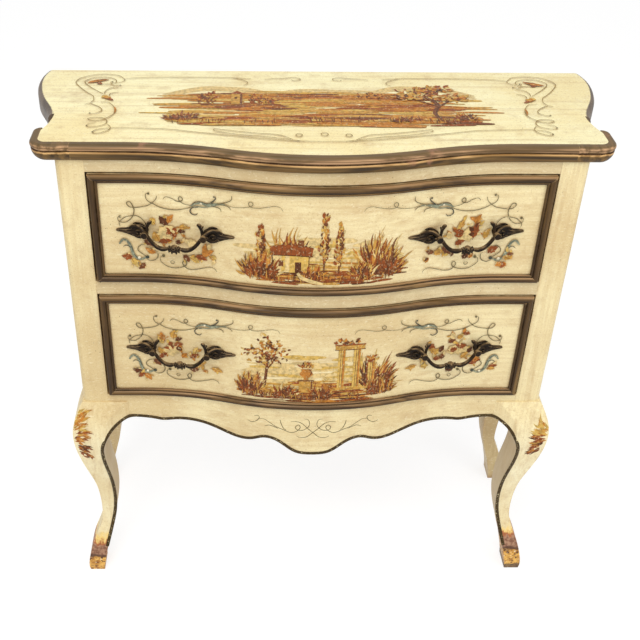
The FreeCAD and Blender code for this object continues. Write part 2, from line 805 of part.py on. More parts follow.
def drilled(shape, holes):
    for hole in holes:
        shape = shape.cut(hole)
    return shape


# Top, rails and posts with the screws that hold the top
up = vector(0, 0, 1)
rail_screw_x = apron_half / 2
screw_places = []
for side in (-1, 1):
    screw_places.append((side * rail_screw_x, 0.0, top_rail_low))
    screw_places.append((side * (runner_inner + runner_width / 2), case_depth / 2, kicker_low))
    screw_places.append((side * rail_screw_x, back_rail_front + back_rail_depth / 2, back_rail_low))
top_screws, top_holes = [], []
for x, y, low in screw_places:
    length = top_underside - low + screw_bite
    top_screws.append(make_screw(vector(x, y, low), up, length))
    top_holes.append(screw_hole(vector(x, y, low), up, length))

top_board = drilled(make_top_board(), top_holes)
for name, strip in zip(("front", "left", "right"), make_top_moulding()):
    save("top_moulding_" + name, strip)
save("top_board", top_board)
top_rail = flat_backed(opening_half, top_rail_low, top_underside, 0.0, front_frame_depth)
save("top_rail", drilled(top_rail, top_holes))
middle_rail_low = middle_rail_top - middle_rail_height
save("middle_rail", flat_backed(opening_half, middle_rail_low, middle_rail_top, 0.0, front_frame_depth))
apron = make_apron_rail()
save("apron_rail", apron)
save("top_screws", top_screws)

# Back
back_direction = vector(0, -1, 0)
bottom_back_high = apron_top - stop_height
bottom_back_low = bottom_back_high - back_rail_height
back_screws, back_holes = [], []
for rail_middle in (back_rail_low + back_rail_height / 2, bottom_back_low + back_rail_height / 2):
    for share in (-0.9, -0.45, 0.0, 0.45, 0.9):
        head = vector(share * rear_opening_half, case_depth + screw_head_height, rail_middle)
        back_screws.append(make_screw(head, back_direction, back_screw_length))
        hole_radius = screw_diameter / 2 + hole_clear
        back_holes.append(cylinder(head, back_direction, hole_radius, back_screw_length))
back_panel = block(-rear_opening_half, rear_opening_half, back_panel_front, case_depth,
                   bottom_back_low, top_underside)
top_back_rail = block(-rear_opening_half, rear_opening_half, back_rail_front, back_panel_front,
                      back_rail_low, top_underside)
bottom_back_rail = block(-rear_opening_half, rear_opening_half, back_rail_front, back_panel_front,
                         bottom_back_low, bottom_back_high)
save("back_panel", drilled(back_panel, back_holes))
save("top_back_rail", drilled(drilled(top_back_rail, top_holes), back_holes))
save("bottom_back_rail", drilled(bottom_back_rail, back_holes))
save("back_screws", back_screws)

# Posts, legs and the dowels between them
front_leg = make_front_leg()
rear_leg = make_rear_leg()
front_dowel_spot = vector(case_half - post_width / 2, front_leg_face + post_width / 2, leg_height)
rear_dowel_spot = vector(rear_half - rear_post_width / 2, case_depth - rear_post_depth / 2, leg_height)
dowels = []
holes = []
for spot in (front_dowel_spot, rear_dowel_spot):
    start = spot - up * (dowel_length / 2)
    dowels.append(cylinder(start, up, dowel_diameter / 2, dowel_length))
    holes.append(cylinder(start, up, dowel_diameter / 2 + hole_clear, dowel_length))
save("leg_dowels", dowels + [mirrored(dowel) for dowel in dowels])

lower_runner = make_runner(lower_low - runner_clear)
right_pieces = {
    "front_post": make_front_post().cut(holes[0]),
    "rear_post": make_rear_post().cut(holes[1]),
    "front_leg": front_leg.cut(holes[0]).cut(lower_runner),
    "rear_leg": rear_leg.cut(holes[1]).cut(lower_runner),
    "side_panel": make_side_panel(),
    "runner_upper": make_runner(upper_low - runner_clear),
    "runner_lower": lower_runner,
    "kicker": drilled(make_kicker(), top_holes),
}
for name, piece in right_pieces.items():
    save(name + "_right", piece)
    save(name + "_left", mirrored(piece))

# Brackets, glue blocks and drawer stops
front_bracket = make_front_bracket(front_leg)
rear_leg_front = case_depth - leg_outer[-1][1] - leg_back[-1][1]
side_brackets = [make_side_bracket(front_leg, case_half, front_frame_depth, side_apron_front),
                 make_side_bracket(rear_leg, rear_half, rear_leg_front, side_apron_back)]
corner_block = make_corner_block().cut(front_bracket).cut(front_leg).cut(apron)
stops = [make_stop(stop_offset, middle_rail_top), make_stop(stop_offset, apron_top)]
brackets = [bracket.cut(lower_runner) for bracket in [front_bracket] + side_brackets]
save("knee_brackets", brackets + [mirrored(bracket) for bracket in brackets])
save("corner_blocks", [corner_block, mirrored(corner_block)])
save("drawer_stops", stops + [mirrored(stop) for stop in stops])

make_drawer("upper", upper_low, upper_high)
make_drawer("lower", lower_low, lower_high)
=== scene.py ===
import bmesh
import bpy
import json
import math
import random
from mathutils import Matrix, Vector
from mathutils.bvhtree import BVHTree


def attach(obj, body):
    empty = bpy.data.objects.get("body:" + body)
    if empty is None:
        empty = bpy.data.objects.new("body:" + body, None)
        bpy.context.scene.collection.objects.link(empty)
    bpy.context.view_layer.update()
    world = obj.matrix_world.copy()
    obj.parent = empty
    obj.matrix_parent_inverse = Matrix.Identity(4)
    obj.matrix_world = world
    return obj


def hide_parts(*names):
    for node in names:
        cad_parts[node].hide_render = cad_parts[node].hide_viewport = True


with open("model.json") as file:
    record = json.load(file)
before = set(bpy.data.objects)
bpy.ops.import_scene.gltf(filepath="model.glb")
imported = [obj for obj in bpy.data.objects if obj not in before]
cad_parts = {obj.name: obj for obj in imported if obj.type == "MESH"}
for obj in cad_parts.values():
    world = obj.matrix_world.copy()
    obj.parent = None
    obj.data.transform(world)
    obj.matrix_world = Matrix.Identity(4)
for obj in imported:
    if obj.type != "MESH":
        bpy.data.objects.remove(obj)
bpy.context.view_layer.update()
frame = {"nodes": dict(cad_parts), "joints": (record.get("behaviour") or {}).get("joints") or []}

nodes = frame["nodes"]
joints = {joint["name"]: joint for joint in frame["joints"]}
MM = 0.001


def add_object(name, data):
    made = bpy.data.objects.new(name, data)
    bpy.context.scene.collection.objects.link(made)
    return made


# Camera, worked out from the edges of the chest in the photograph
CAMERA_PLACE = Vector((-0.1033, -1.3717, 1.4543))
CAMERA_YAW, CAMERA_PITCH, CAMERA_ROLL = 0.02443, 0.61873, 0.01545
CAMERA_FOCUS_PIXELS = 1000.0
CAMERA_MIDDLE_PIXELS = (269.9, 320.0)
PHOTO_PIXELS = 640.0
SENSOR_MM = 36.0


def make_camera():
    data = bpy.data.cameras.new("photo_camera")
    data.sensor_width = SENSOR_MM
    data.lens = CAMERA_FOCUS_PIXELS * SENSOR_MM / PHOTO_PIXELS
    data.shift_x = (PHOTO_PIXELS / 2 - CAMERA_MIDDLE_PIXELS[0]) / PHOTO_PIXELS
    data.shift_y = (CAMERA_MIDDLE_PIXELS[1] - PHOTO_PIXELS / 2) / PHOTO_PIXELS
    forward = Vector((math.sin(CAMERA_YAW) * math.cos(CAMERA_PITCH),
                      math.cos(CAMERA_YAW) * math.cos(CAMERA_PITCH), -math.sin(CAMERA_PITCH)))
    level = Vector((math.cos(CAMERA_YAW), -math.sin(CAMERA_YAW), 0))
    upright = level.cross(forward)
    right = math.cos(CAMERA_ROLL) * level + math.sin(CAMERA_ROLL) * upright
    up = math.cos(CAMERA_ROLL) * upright - math.sin(CAMERA_ROLL) * level
    camera = add_object("photo_camera", data)
    turn = Matrix((right, up, -forward)).transposed()
    camera.matrix_world = Matrix.Translation(CAMERA_PLACE) @ turn.to_4x4()
    bpy.context.scene.camera = camera


# Node graphs
EVEN, ALONG_X, ALONG_Y, ALONG_Z = (1, 1, 1), (0.05, 1, 1), (1, 0.05, 1), (1, 1, 0.05)
BUMP_STRENGTH, NOISE_ROUGHNESS = 0.6, 0.55
CORNER_SAMPLES, EDGE_SAMPLES = 8, 4
EDGE_FLAT, EDGE_SHARP = 0.995, 0.8


def tint(colour):
    """Linear colour of an 8-bit screen colour; a socket stays as it is."""
    if isinstance(colour, bpy.types.NodeSocket):
        return colour
    shares = [value / 255 for value in colour]
    return [share / 12.92 if share < 0.04045 else ((share + 0.055) / 1.055) ** 2.4 for share in shares] + [1]


class Graph:
    """Node graph of a material or the world; colour is the surface as laid so far."""

    def __init__(self, name, world=False):
        self.owner = (bpy.data.worlds if world else bpy.data.materials).new(name)
        self.owner.use_nodes = True
        self.tree = self.owner.node_tree
        self.tree.nodes.clear()
        self.output = self.node("OutputWorld" if world else "OutputMaterial")

    def node(self, kind, values=None, **settings):
        made = self.tree.nodes.new("ShaderNode" + kind)
        for name, value in settings.items():
            setattr(made, name, value)
        for key, value in (values or {}).items():
            if isinstance(value, bpy.types.NodeSocket):
                self.tree.links.new(value, made.inputs[key])
            else:
                made.inputs[key].default_value = value
        return made

    def place(self, scale=EVEN):
        """Object coordinates in metres, stretched per axis."""
        coordinates = self.node("TexCoord").outputs["Object"]
        return self.node("Mapping", {"Vector": coordinates, "Scale": scale}).outputs["Vector"]

    def axis(self, name):
        """One object coordinate, in metres."""
        return self.node("SeparateXYZ", {0: self.node("TexCoord").outputs["Object"]}).outputs[name]

    def facing(self, name="Z"):
        """1 on faces that look along an axis, -1 on faces that look against it."""
        return self.node("SeparateXYZ", {0: self.node("NewGeometry").outputs["Normal"]}).outputs[name]

    def noise(self, scale, detail=3.0, stretch=EVEN):
        values = {"Vector": self.place(stretch), "Scale": scale, "Detail": detail,
                  "Roughness": NOISE_ROUGHNESS}
        return self.node("TexNoise", values).outputs["Fac"]

    def ramp(self, factor, low, high, first=0.0, last=1.0):
        """Value that goes from first to last while the factor goes from low to high."""
        values = {"Value": factor, "From Min": low, "From Max": high, "To Min": first, "To Max": last}
        return self.node("MapRange", values, interpolation_type="SMOOTHSTEP").outputs["Result"]

    def patches(self, scale, low, high, detail=3.0, stretch=EVEN, first=0.0, last=1.0):
        """Noise that goes from first to last between two of its levels."""
        return self.ramp(self.noise(scale, detail, stretch), low, high, first, last)

    def math(self, operation, first, second=0.0):
        return self.node("Math", {0: first, 1: second}, operation=operation).outputs[0]

    def both(self, first, second):
        return self.math("MULTIPLY", first, second)

    def mix(self, factor, first, second):
        values = {0: factor, 6: tint(first), 7: tint(second)}
        return self.node("Mix", values, data_type="RGBA").outputs[2]

    def lay(self, mask, colour, strength=1.0):
        """Coat of a colour where the mask is 1."""
        share = mask if strength == 1.0 else self.both(mask, strength)
        self.colour = self.mix(share, self.colour, colour)

    def corners(self, distance, low, high):
        """1 deep in corners and gaps, 0 on open faces."""
        shaded = self.node("AmbientOcclusion", {"Distance": distance}, samples=CORNER_SAMPLES)
        return self.ramp(self.math("SUBTRACT", 1.0, shaded.outputs["AO"]), low, high)

    def edges(self, radius):
        """1 on sharp edges, 0 on flat faces."""
        rounded = self.node("Bevel", {"Radius": radius}, samples=EDGE_SAMPLES).outputs["Normal"]
        flat = self.node("NewGeometry").outputs["Normal"]
        turned = self.node("VectorMath", {0: rounded, 1: flat}, operation="DOT_PRODUCT")
        return self.ramp(turned.outputs["Value"], EDGE_FLAT, EDGE_SHARP)

    def seen(self):
        """1 for rays from the camera and from glossy or clear surfaces, 0 for light rays."""
        path = self.node("LightPath").outputs
        glossy = self.math("MAXIMUM", path["Is Camera Ray"], path["Is Glossy Ray"])
        return self.math("MAXIMUM", glossy, path["Is Transmission Ray"])

    def show(self, shader):
        self.tree.links.new(shader.outputs[0], self.output.inputs["Surface"])
        return self.owner

    def finish(self, rough, height, depth, metal=0.0, gloss=0.5):
        bump = self.node("Bump", {"Height": height, "Distance": depth, "Strength": BUMP_STRENGTH})
        values = {"Base Color": self.colour, "Roughness": rough, "Metallic": metal,
                  "Specular IOR Level": gloss, "Normal": bump.outputs["Normal"]}
        return self.show(self.node("BsdfPrincipled", values))


# Finishes
# Painted shade, partly grime, laid in corners and gaps of the cream paint
SHADE_AND_GRIME = (104, 74, 40)
# Paint and the shade in it, then dark and light wood
TOP_PAINT = (253, 247, 198), (239, 219, 160)
FRONT_PAINT = (243, 227, 177), (213, 186, 133)
LEG_PAINT = (252, 241, 200), (226, 203, 151)
# Rails and rear legs: darker copies of the cream paint, as painted shade
RAIL_SHADED_PAINT = (228, 210, 164), (196, 170, 122)
REAR_SHADED_PAINT = (216, 194, 144), (188, 160, 112)
WOOD = (104, 70, 40), (164, 120, 74)
PLYWOOD = (140, 102, 62), (190, 150, 100)
PAINT_RELIEF, GILT_RELIEF, GILT_GLOSS = 0.0003, 0.0004, 0.25
LEG_TOP, TOP_LEVEL = 0.388, 0.853
FOOT_FRINGE, FOOT_BAND, FOOT_RIDGE, FOOT_LEAN = 0.076, 0.064, 0.041, -0.017


def age_paint(g, paint, grain, shade_and_wear=1.0):
    """Aged cream paint with painted shade, partly grime, in corners and gaps; gives its roughness and relief.
    The last argument sets the strength of that painted shade and of worn edges.
    """
    blotch = g.patches(6.0, 0.38, 0.7, 5.0)
    brush = g.patches(240.0, 0.3, 0.72, 4.0, grain)
    g.colour, shade = paint
    g.lay(blotch, shade, 0.75)
    g.lay(brush, shade, 0.5)
    g.lay(g.patches(90.0, 0.5, 0.74, 5.0, grain), (202, 170, 120), 0.45)
    g.lay(g.patches(38.0, 0.5, 0.76, 7.0), (194, 162, 112), 0.42)
    g.lay(g.patches(520.0, 0.52, 0.74), (184, 150, 100), 0.5)
    g.lay(g.patches(430.0, 0.55, 0.75, 3.0, (0.4, 0.4, 1)), (255, 248, 216), 0.4)
    # Painted shade, partly grime, in corners and gaps, broken by noise
    broken = g.patches(70.0, 0.3, 0.66, 6.0, EVEN, 0.15, 0.8)
    g.lay(g.both(g.corners(0.016, 0.25, 0.85), broken), SHADE_AND_GRIME, shade_and_wear)
    # Wider and fainter painted shade, partly grime, round corners
    broken = g.patches(40.0, 0.36, 0.66, 7.0, EVEN, 0.1, 0.7)
    g.lay(g.both(g.corners(0.03, 0.1, 0.5), broken), (180, 142, 92), shade_and_wear)
    cells = g.node("TexVoronoi", {"Vector": g.place(), "Scale": 150.0}).outputs["Distance"]
    g.lay(g.both(g.ramp(cells, 0.12, 0.05), g.patches(24.0, 0.58, 0.62, 2.0)), (92, 62, 32))
    edge = g.both(g.edges(0.0025), g.patches(55.0, 0.46, 0.62, 5.0))
    g.lay(g.both(edge, shade_and_wear), (150, 108, 62), 0.6)
    return g.ramp(blotch, 0.0, 1.0, 0.42, 0.56), brush


def shade_and_wear_off_joints(g):
    """Strength of the painted shade in corners and of worn edges: 0 at the height where legs, brackets and
    posts join, 1 well above and below it.
    """
    return g.ramp(g.math("ABSOLUTE", g.math("SUBTRACT", g.axis("Z"), LEG_TOP)), 0.06, 0.12)


def make_paint(name, paint, grain, joints_hidden=False):
    g = Graph(name)
    rough, relief = age_paint(g, paint, grain, shade_and_wear_off_joints(g) if joints_hidden else 1.0)
    return g.finish(rough, relief, PAINT_RELIEF)


def make_top_paint():
    """Cream face with plain dark edges and underside."""
    g = Graph("cream_top")
    rough, relief = age_paint(g, TOP_PAINT, ALONG_X)
    dark = g.mix(g.patches(90.0, 0.3, 0.7, 5.0, ALONG_Y), (70, 58, 46), (112, 94, 76))
    g.lay(g.ramp(g.facing(), 0.985, 0.93), dark)
    return g.finish(rough, relief, PAINT_RELIEF)


def make_leg_paint():
    """Cream leg with a painted foot: yellow and rust fringe, mauve-brown band, dark ridge, amber hoof with
    pale specks of painted highlight; painted shade on the inner faces.
    """
    g = Graph("cream_leg")
    upper = g.ramp(g.axis("Z"), LEG_TOP - 0.09, LEG_TOP)
    paint = [g.mix(upper, below, above) for below, above in zip(LEG_PAINT, FRONT_PAINT)]
    rough, relief = age_paint(g, paint, ALONG_Z, shade_and_wear_off_joints(g))
    level = g.math("ADD", g.axis("Z"), g.both(g.axis("X"), FOOT_LEAN))
    height = g.math("ADD", level, g.patches(160.0, 0.2, 0.8, 3.0, (1, 1, 0.3), -0.008, 0.008))
    # Painted shade on the inner faces, which look towards the middle of the chest
    g.lay(g.ramp(g.both(g.facing("X"), g.axis("X")), -0.12, -0.3), (182, 154, 104), 0.75)
    g.lay(g.ramp(height, FOOT_FRINGE + 0.012, FOOT_FRINGE - 0.004), (246, 210, 118), 0.85)
    g.lay(g.ramp(height, FOOT_FRINGE, FOOT_FRINGE - 0.009), (172, 98, 50))
    band = g.mix(g.patches(210.0, 0.36, 0.64, 5.0), (124, 80, 56), (176, 134, 104))
    g.lay(g.ramp(height, FOOT_BAND + 0.004, FOOT_BAND - 0.004), band)
    steady = g.math("ADD", level, g.patches(60.0, 0.3, 0.7, 3.0, EVEN, -0.002, 0.002))
    hoof = g.mix(g.patches(130.0, 0.36, 0.64, 4.0), (170, 108, 32), (236, 184, 90))
    hoof = g.mix(g.patches(150.0, 0.56, 0.64, 2.0), hoof, (92, 52, 18))
    # Pale specks on the hoof: painted glints of highlight
    hoof = g.mix(g.patches(190.0, 0.66, 0.7, 2.0), hoof, (252, 240, 208))
    g.lay(g.ramp(steady, FOOT_RIDGE, FOOT_RIDGE - 0.003), hoof)
    ridge = g.both(g.ramp(steady, FOOT_RIDGE - 0.005, FOOT_RIDGE - 0.001),
                   g.ramp(steady, FOOT_RIDGE + 0.005, FOOT_RIDGE + 0.001))
    g.lay(ridge, (74, 40, 16), 0.85)
    g.lay(g.ramp(steady, 0.009, 0.003), (70, 52, 38), 0.8)
    return g.finish(rough, relief, PAINT_RELIEF)


def make_gilt(name, grain):
    """Worn bronze gilding with bare ground in places; tan painted highlight where it faces up, and dark
    painted shade in the hollows and gaps and where it faces down.
    """
    g = Graph(name)
    streak = g.noise(140.0, 5.0, grain)
    g.colour = g.mix(g.ramp(streak, 0.34, 0.68), (58, 39, 17), (106, 79, 42))
    # Painted highlight, tan, on faces that look up
    upward = g.ramp(g.facing(), 0.32, 0.92)
    g.lay(g.both(upward, g.patches(60.0, 0.3, 0.62, 5.0, grain)), (182, 145, 103), 0.85)
    g.lay(g.patches(36.0, 0.54, 0.74, 5.0, grain), (172, 136, 82), 0.45)
    # Lighter edges: worn gilding, partly painted highlight
    g.lay(g.both(g.edges(0.002), g.patches(80.0, 0.35, 0.6)), (194, 158, 108), 0.6)
    # Painted shade on faces that look down
    g.lay(g.ramp(g.facing(), 0.15, -0.45), (46, 30, 14), 0.75)
    # Painted shade in hollows and in the gaps beside the drawers
    g.lay(g.corners(0.012, 0.3, 0.62), (34, 22, 10), 0.92)
    return g.finish(g.ramp(streak, 0.3, 0.7, 0.4, 0.6), streak, GILT_RELIEF, gloss=GILT_GLOSS)


def make_moulding_gilt(name, grain):
    """Gilding of the top's edge in bands: tan bead, red-brown line, bright line, dark ovolo. The red-brown
    line, bright line and dark ovolo are partly painted shade and highlight of the profile; painted shade
    darkens corners, and edges are lighter, partly as painted highlight.
    """
    g = Graph(name)
    streak = g.noise(120.0, 5.0, grain)
    wander = g.patches(50.0, 0.3, 0.7, 3.0, grain, -0.0008, 0.0008)
    below = g.math("ADD", g.math("SUBTRACT", TOP_LEVEL, g.axis("Z")), wander)
    g.colour = g.mix(g.ramp(streak, 0.36, 0.66), (104, 80, 48), (192, 152, 112))
    # Red-brown line at the step under the bead, partly painted shade
    g.lay(g.ramp(below, 0.0088, 0.0097), (66, 40, 20))
    # Bright line below it, partly painted highlight on the step
    gold = g.mix(g.ramp(streak, 0.36, 0.62), (158, 118, 66), (222, 178, 118))
    g.lay(g.ramp(below, 0.0106, 0.0112), gold)
    # Dark ovolo, partly painted shade where the profile turns down
    ovolo = g.mix(g.ramp(streak, 0.34, 0.7), (62, 44, 18), (128, 98, 54))
    g.lay(g.ramp(below, 0.0126, 0.0146), ovolo)
    g.lay(g.ramp(below, 0.0026, 0.001), (90, 72, 42), 0.8)
    # Thin dark line in the bead: painted shade of a groove between two reeds
    g.lay(g.both(g.ramp(below, 0.0038, 0.0044), g.ramp(below, 0.0056, 0.005)), (82, 60, 34), 0.7)
    g.lay(g.patches(17.0, 0.62, 0.7, 5.0), (168, 120, 92), 0.6)
    # Lighter edges: worn gilding, partly painted highlight
    g.lay(g.both(g.edges(0.0015), g.patches(70.0, 0.4, 0.6)), (206, 168, 116), 0.5)
    # Painted shade in corners and gaps
    g.lay(g.corners(0.006, 0.35, 0.8), (36, 23, 11), 0.85)
    return g.finish(g.ramp(streak, 0.3, 0.7, 0.4, 0.6), streak, GILT_RELIEF, gloss=GILT_GLOSS)


def make_bronze():
    """Dark patinated casting with painted highlight where it faces up and on edges, which are partly rubbed
    bright, and painted shade where it faces down and in crevices.
    """
    g = Graph("antique_bronze")
    patch = g.noise(130.0, 4.0)
    g.colour = g.mix(g.ramp(patch, 0.35, 0.7), (22, 14, 6), (50, 35, 18))
    # Lighter edges: rubbed bright, partly painted highlight
    g.lay(g.both(g.edges(0.0012), g.patches(70.0, 0.3, 0.6, 3.0, EVEN, 0.4, 1.0)), (166, 138, 100))
    # Painted highlight on faces that look up
    highlight_patches = g.patches(95.0, 0.36, 0.62, 4.0, EVEN, 0.1, 0.8)
    g.lay(g.both(g.ramp(g.facing(), 0.45, 0.98), highlight_patches), (162, 134, 96))
    # Painted shade on faces that look down
    g.lay(g.ramp(g.facing(), 0.1, -0.5), (24, 18, 13), 0.75)
    # Painted shade in crevices
    g.lay(g.corners(0.005, 0.22, 0.7), (16, 11, 8), 0.95)
    rough = g.ramp(patch, 0.3, 0.7, 0.42, 0.6)
    return g.finish(rough, patch, depth=0.0002, metal=0.05, gloss=0.14)


def make_wood(name, wood, grain):
    """Bare wood with grain and pores, darker in the corners."""
    g = Graph(name)
    dark, light = wood
    figure = g.noise(60.0, 5.0, grain)
    g.colour = g.mix(g.ramp(figure, 0.3, 0.7), dark, light)
    g.lay(g.patches(700.0, 0.58, 0.7, 2.0, grain), dark, 0.5)
    g.lay(g.patches(8.0, 0.5, 0.75), (74, 50, 28), 0.35)
    g.lay(g.corners(0.012, 0.3, 0.8), (48, 32, 18), 0.6)
    g.lay(g.edges(0.002), light, 0.4)
    return g.finish(g.ramp(figure, 0.3, 0.7, 0.55, 0.75), figure, depth=0.0004)


def make_steel():
    g = Graph("steel")
    scratch = g.noise(420.0, 3.0, (1, 0.2, 0.2))
    g.colour = g.mix(g.ramp(scratch, 0.3, 0.7), (120, 116, 110), (176, 172, 166))
    rust = g.patches(220.0, 0.58, 0.7, 4.0, EVEN, 0.0, 0.7)
    g.lay(rust, (112, 72, 44))
    g.lay(g.edges(0.0008), (205, 202, 196), 0.5)
    return g.finish(g.ramp(rust, 0.0, 0.7, 0.35, 0.7), scratch, depth=0.0001, metal=0.8)


PIGMENTS = {"umber": (96, 52, 24), "brown": (124, 72, 38), "rust": (152, 78, 32), "amber": (200, 130, 52),
            "ochre": (207, 156, 72), "gold": (220, 180, 92), "wash": (232, 202, 138), "pale": (244, 231, 198),
            "line": (114, 102, 68), "sepia": (168, 140, 80), "slate": (142, 146, 122),
            "deep_slate": (74, 76, 64), "gilt_line": (72, 54, 22)}


def make_pigment(name):
    """Thin dry paint of one colour that lets some of the cream show through."""
    g = Graph("pigment_" + name)
    deep = [0.8 * value for value in PIGMENTS[name]]
    g.colour = g.mix(g.patches(170.0, 0.35, 0.68, 4.0), PIGMENTS[name], deep)
    g.lay(g.patches(320.0, 0.56, 0.74), FRONT_PAINT[0], 0.55)
    rough = g.patches(90.0, 0.3, 0.7, 3.0, EVEN, 0.42, 0.6)
    return g.finish(rough, g.noise(400.0), depth=0.0001, gloss=0.2)


def dress_nodes():
    """Give every CAD node its finish, with the grain along the piece; gives the pulls' bronze."""
    bronze = make_bronze()
    # The first row with a word that the node's name holds counts
    by_words = [
        (bronze, "_bail pull_plates pull_posts"),
        (make_steel(), "pull_nuts screws"),
        (make_moulding_gilt("gilt_edge_front", ALONG_X), "moulding_front"),
        (make_moulding_gilt("gilt_edge_side", ALONG_Y), "moulding"),
        (make_gilt("gilt_across", ALONG_X), "trim_top trim_bottom"),
        (make_gilt("gilt_upright", ALONG_Z), "trim"),
        (make_top_paint(), "top_board"),
        (make_paint("cream_front", FRONT_PAINT, ALONG_X), "drawer_front apron"),
        (make_wood("wood_across", WOOD, ALONG_X), "drawer_back stops blocks back_rail"),
        (make_wood("plywood", PLYWOOD, ALONG_X), "drawer_bottom back_panel"),
        (make_wood("wood_deep", WOOD, ALONG_Y), "drawer_side runner kicker dowels"),
        (make_paint("cream_side", FRONT_PAINT, ALONG_Y), "side_panel"),
        # Rails and rear legs take the darker cream, as painted shade
        (make_paint("cream_rail_shaded", RAIL_SHADED_PAINT, ALONG_X), "_rail"),
        (make_paint("cream_rear_shaded", REAR_SHADED_PAINT, ALONG_Z), "rear_leg"),
        (make_leg_paint(), "leg brackets"),
        (make_paint("cream_upright", FRONT_PAINT, ALONG_Z, joints_hidden=True), "post")]
    for name, node in nodes.items():
        finish = next(made for made, words in by_words if any(word in name for word in words.split()))
        node.data.materials.clear()
        node.data.materials.append(finish)
    return bronze


# Shared shapes
def smooth_path(points, step):
    """Points on a smooth curve through the given ones, about a step apart."""
    points = [Vector(point) for point in points]
    made = []
    for i in range(len(points) - 1):
        second, third = points[i], points[i + 1]
        first = points[i - 1] if i else 2 * second - third
        fourth = points[i + 2] if i + 2 < len(points) else 2 * third - second
        square = 2 * first - 5 * second + 4 * third - fourth
        cubic = 3 * (second - third) + fourth - first
        count = max(1, math.ceil((third - second).length / step))
        for k in range(count):
            t = k / count
            made.append(second + 0.5 * t * (third - first + t * (square + t * cubic)))
    return made + [points[-1]]


def polar(turn, wide=1.0, tall=1.0):
    """Point at an angle on an oval round the origin."""
    return Vector((wide * math.cos(turn), tall * math.sin(turn)))


def heading(path, i):
    """Way from the point before to the point after one on a path."""
    return path[min(i + 1, len(path) - 1)] - path[max(i - 1, 0)]


def pairs(numbers):
    """Points from a row of coordinates."""
    return list(zip(numbers[::2], numbers[1::2]))


def strip(rows):
    """Four-sided faces between rows of corner indices."""
    return [(row[k], row[k + 1], after[k + 1], after[k])
            for row, after in zip(rows, rows[1:]) for k in range(len(row) - 1)]


def make_mesh(name, spots, faces, *finishes):
    mesh = bpy.data.meshes.new(name)
    mesh.from_pydata(spots, [], faces)
    for finish in finishes:
        mesh.materials.append(finish)
    return mesh


def add_piece(name, mesh, body):
    piece = add_object(name, mesh)
    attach(piece, body)
    return piece


def node_tree(*names):
    """Search tree over the faces of CAD nodes."""
    spots, faces = [], []
    for name in names:
        mesh = nodes[name].data
        first = len(spots)
        spots += [vertex.co.copy() for vertex in mesh.vertices]
        faces += [[first + index for index in face.vertices] for face in mesh.polygons]
    return BVHTree.FromPolygons(spots, faces)


# Painted ornament
PAINT_LIFT_MM, LAYER_LIFT_MM, FAR_MM = 0.12, 0.001, 2000
STROKE_STEP_MM, RING_SIDES = 2.0, 16
LEAF_BEND, LEAF_LEAST_WIDTH, LOBE_DEPTH = 0.08, 0.12, 0.32
INTO_FRONT, DOWN = Vector((0, 1, 0)), Vector((0, 0, -1))


class Painting:
    """Thin strokes laid one way on the face of a CAD node, placed in millimetres of the shared frame."""

    def __init__(self, name, way, node):
        self.name = name
        self.way = way
        self.tree = node_tree(node)
        self.spots, self.faces, self.tints = [], [], []
        self.layer = 0

    def spot(self, across, along):
        """Index of a new corner on the face, or None beside it."""
        start = (across, along, FAR_MM) if self.way == DOWN else (across, -FAR_MM, along)
        place, normal = self.tree.ray_cast(Vector(start) * MM, self.way)[:2]
        if place is None:
            return None
        if normal.dot(self.way) > 0:
            normal = -normal
        self.spots.append(place + normal * (PAINT_LIFT_MM + self.layer * LAYER_LIFT_MM) * MM)
        return len(self.spots) - 1

    def ribbon(self, path, pigment):
        """Stroke along points that hold across, along and width."""
        path = [Vector(point) for point in path]
        self.layer += 1
        rows = []
        for i, point in enumerate(path):
            ahead = heading(path, i)
            reach = Vector((-ahead.y, ahead.x)).normalized() * point.z / 2
            rows.append([self.spot(point.x + k * reach.x, point.y + k * reach.y) for k in (1, 0, -1)])
        for face in strip(rows):
            if None not in face:
                self.faces.append(face)
                self.tints.append(pigment)

    def line(self, points, width, pigment, taper=0.45):
        path = smooth_path(points, STROKE_STEP_MM)
        stroke = []
        for i, place in enumerate(path):
            swell = abs(math.sin(math.pi * i / (len(path) - 1))) ** 0.5
            stroke.append((place.x, place.y, width * (taper + (1 - taper) * swell)))
        self.ribbon(stroke, pigment)

    def leaf(self, base, tip, width, pigment, lobes=0):
        """Leaf from its stalk to its tip, slightly bent, with a waved edge if it has lobes."""
        base, tip = Vector(base), Vector(tip)
        reach = tip - base
        sideways = Vector((-reach.y, reach.x)) * LEAF_BEND
        path = []
        count = max(6, 4 * lobes)
        for i in range(count + 1):
            t = i / count
            wide = math.sin(math.pi * t ** 0.8)
            if lobes:
                wide *= 1 - LOBE_DEPTH * abs(math.cos(math.pi * lobes * t))
            place = base + reach * t + sideways * 4 * t * (1 - t)
            path.append((place.x, place.y, max(LEAF_LEAST_WIDTH, wide) * width))
        self.ribbon(path, pigment)

    def ring(self, middle, radius, width, pigment):
        turns = [math.tau * i / RING_SIDES for i in range(RING_SIDES + 1)]
        places = [Vector(middle) + polar(turn, radius, radius) for turn in turns]
        self.ribbon([(place.x, place.y, width) for place in places], pigment)

    def dot(self, middle, radius, pigment):
        self.ring(middle, radius / 2, radius, pigment)

    def block(self, left, right, low, high, pigment):
        """Rectangle, as one broad stroke."""
        middle, width = (low + high) / 2, high - low
        self.ribbon([(left + (right - left) * i / 4, middle, width) for i in range(5)], pigment)

    def show(self, body, finishes):
        used = sorted(set(self.tints))
        mesh = make_mesh(self.name, self.spots, self.faces, *[finishes[name] for name in used])
        mesh.polygons.foreach_set("material_index", [used.index(name) for name in self.tints])
        mesh.update()
        for face in mesh.polygons:
            if face.normal.dot(self.way) > 0:
                face.flip()
        mesh.update()
        add_piece(self.name, mesh, body)


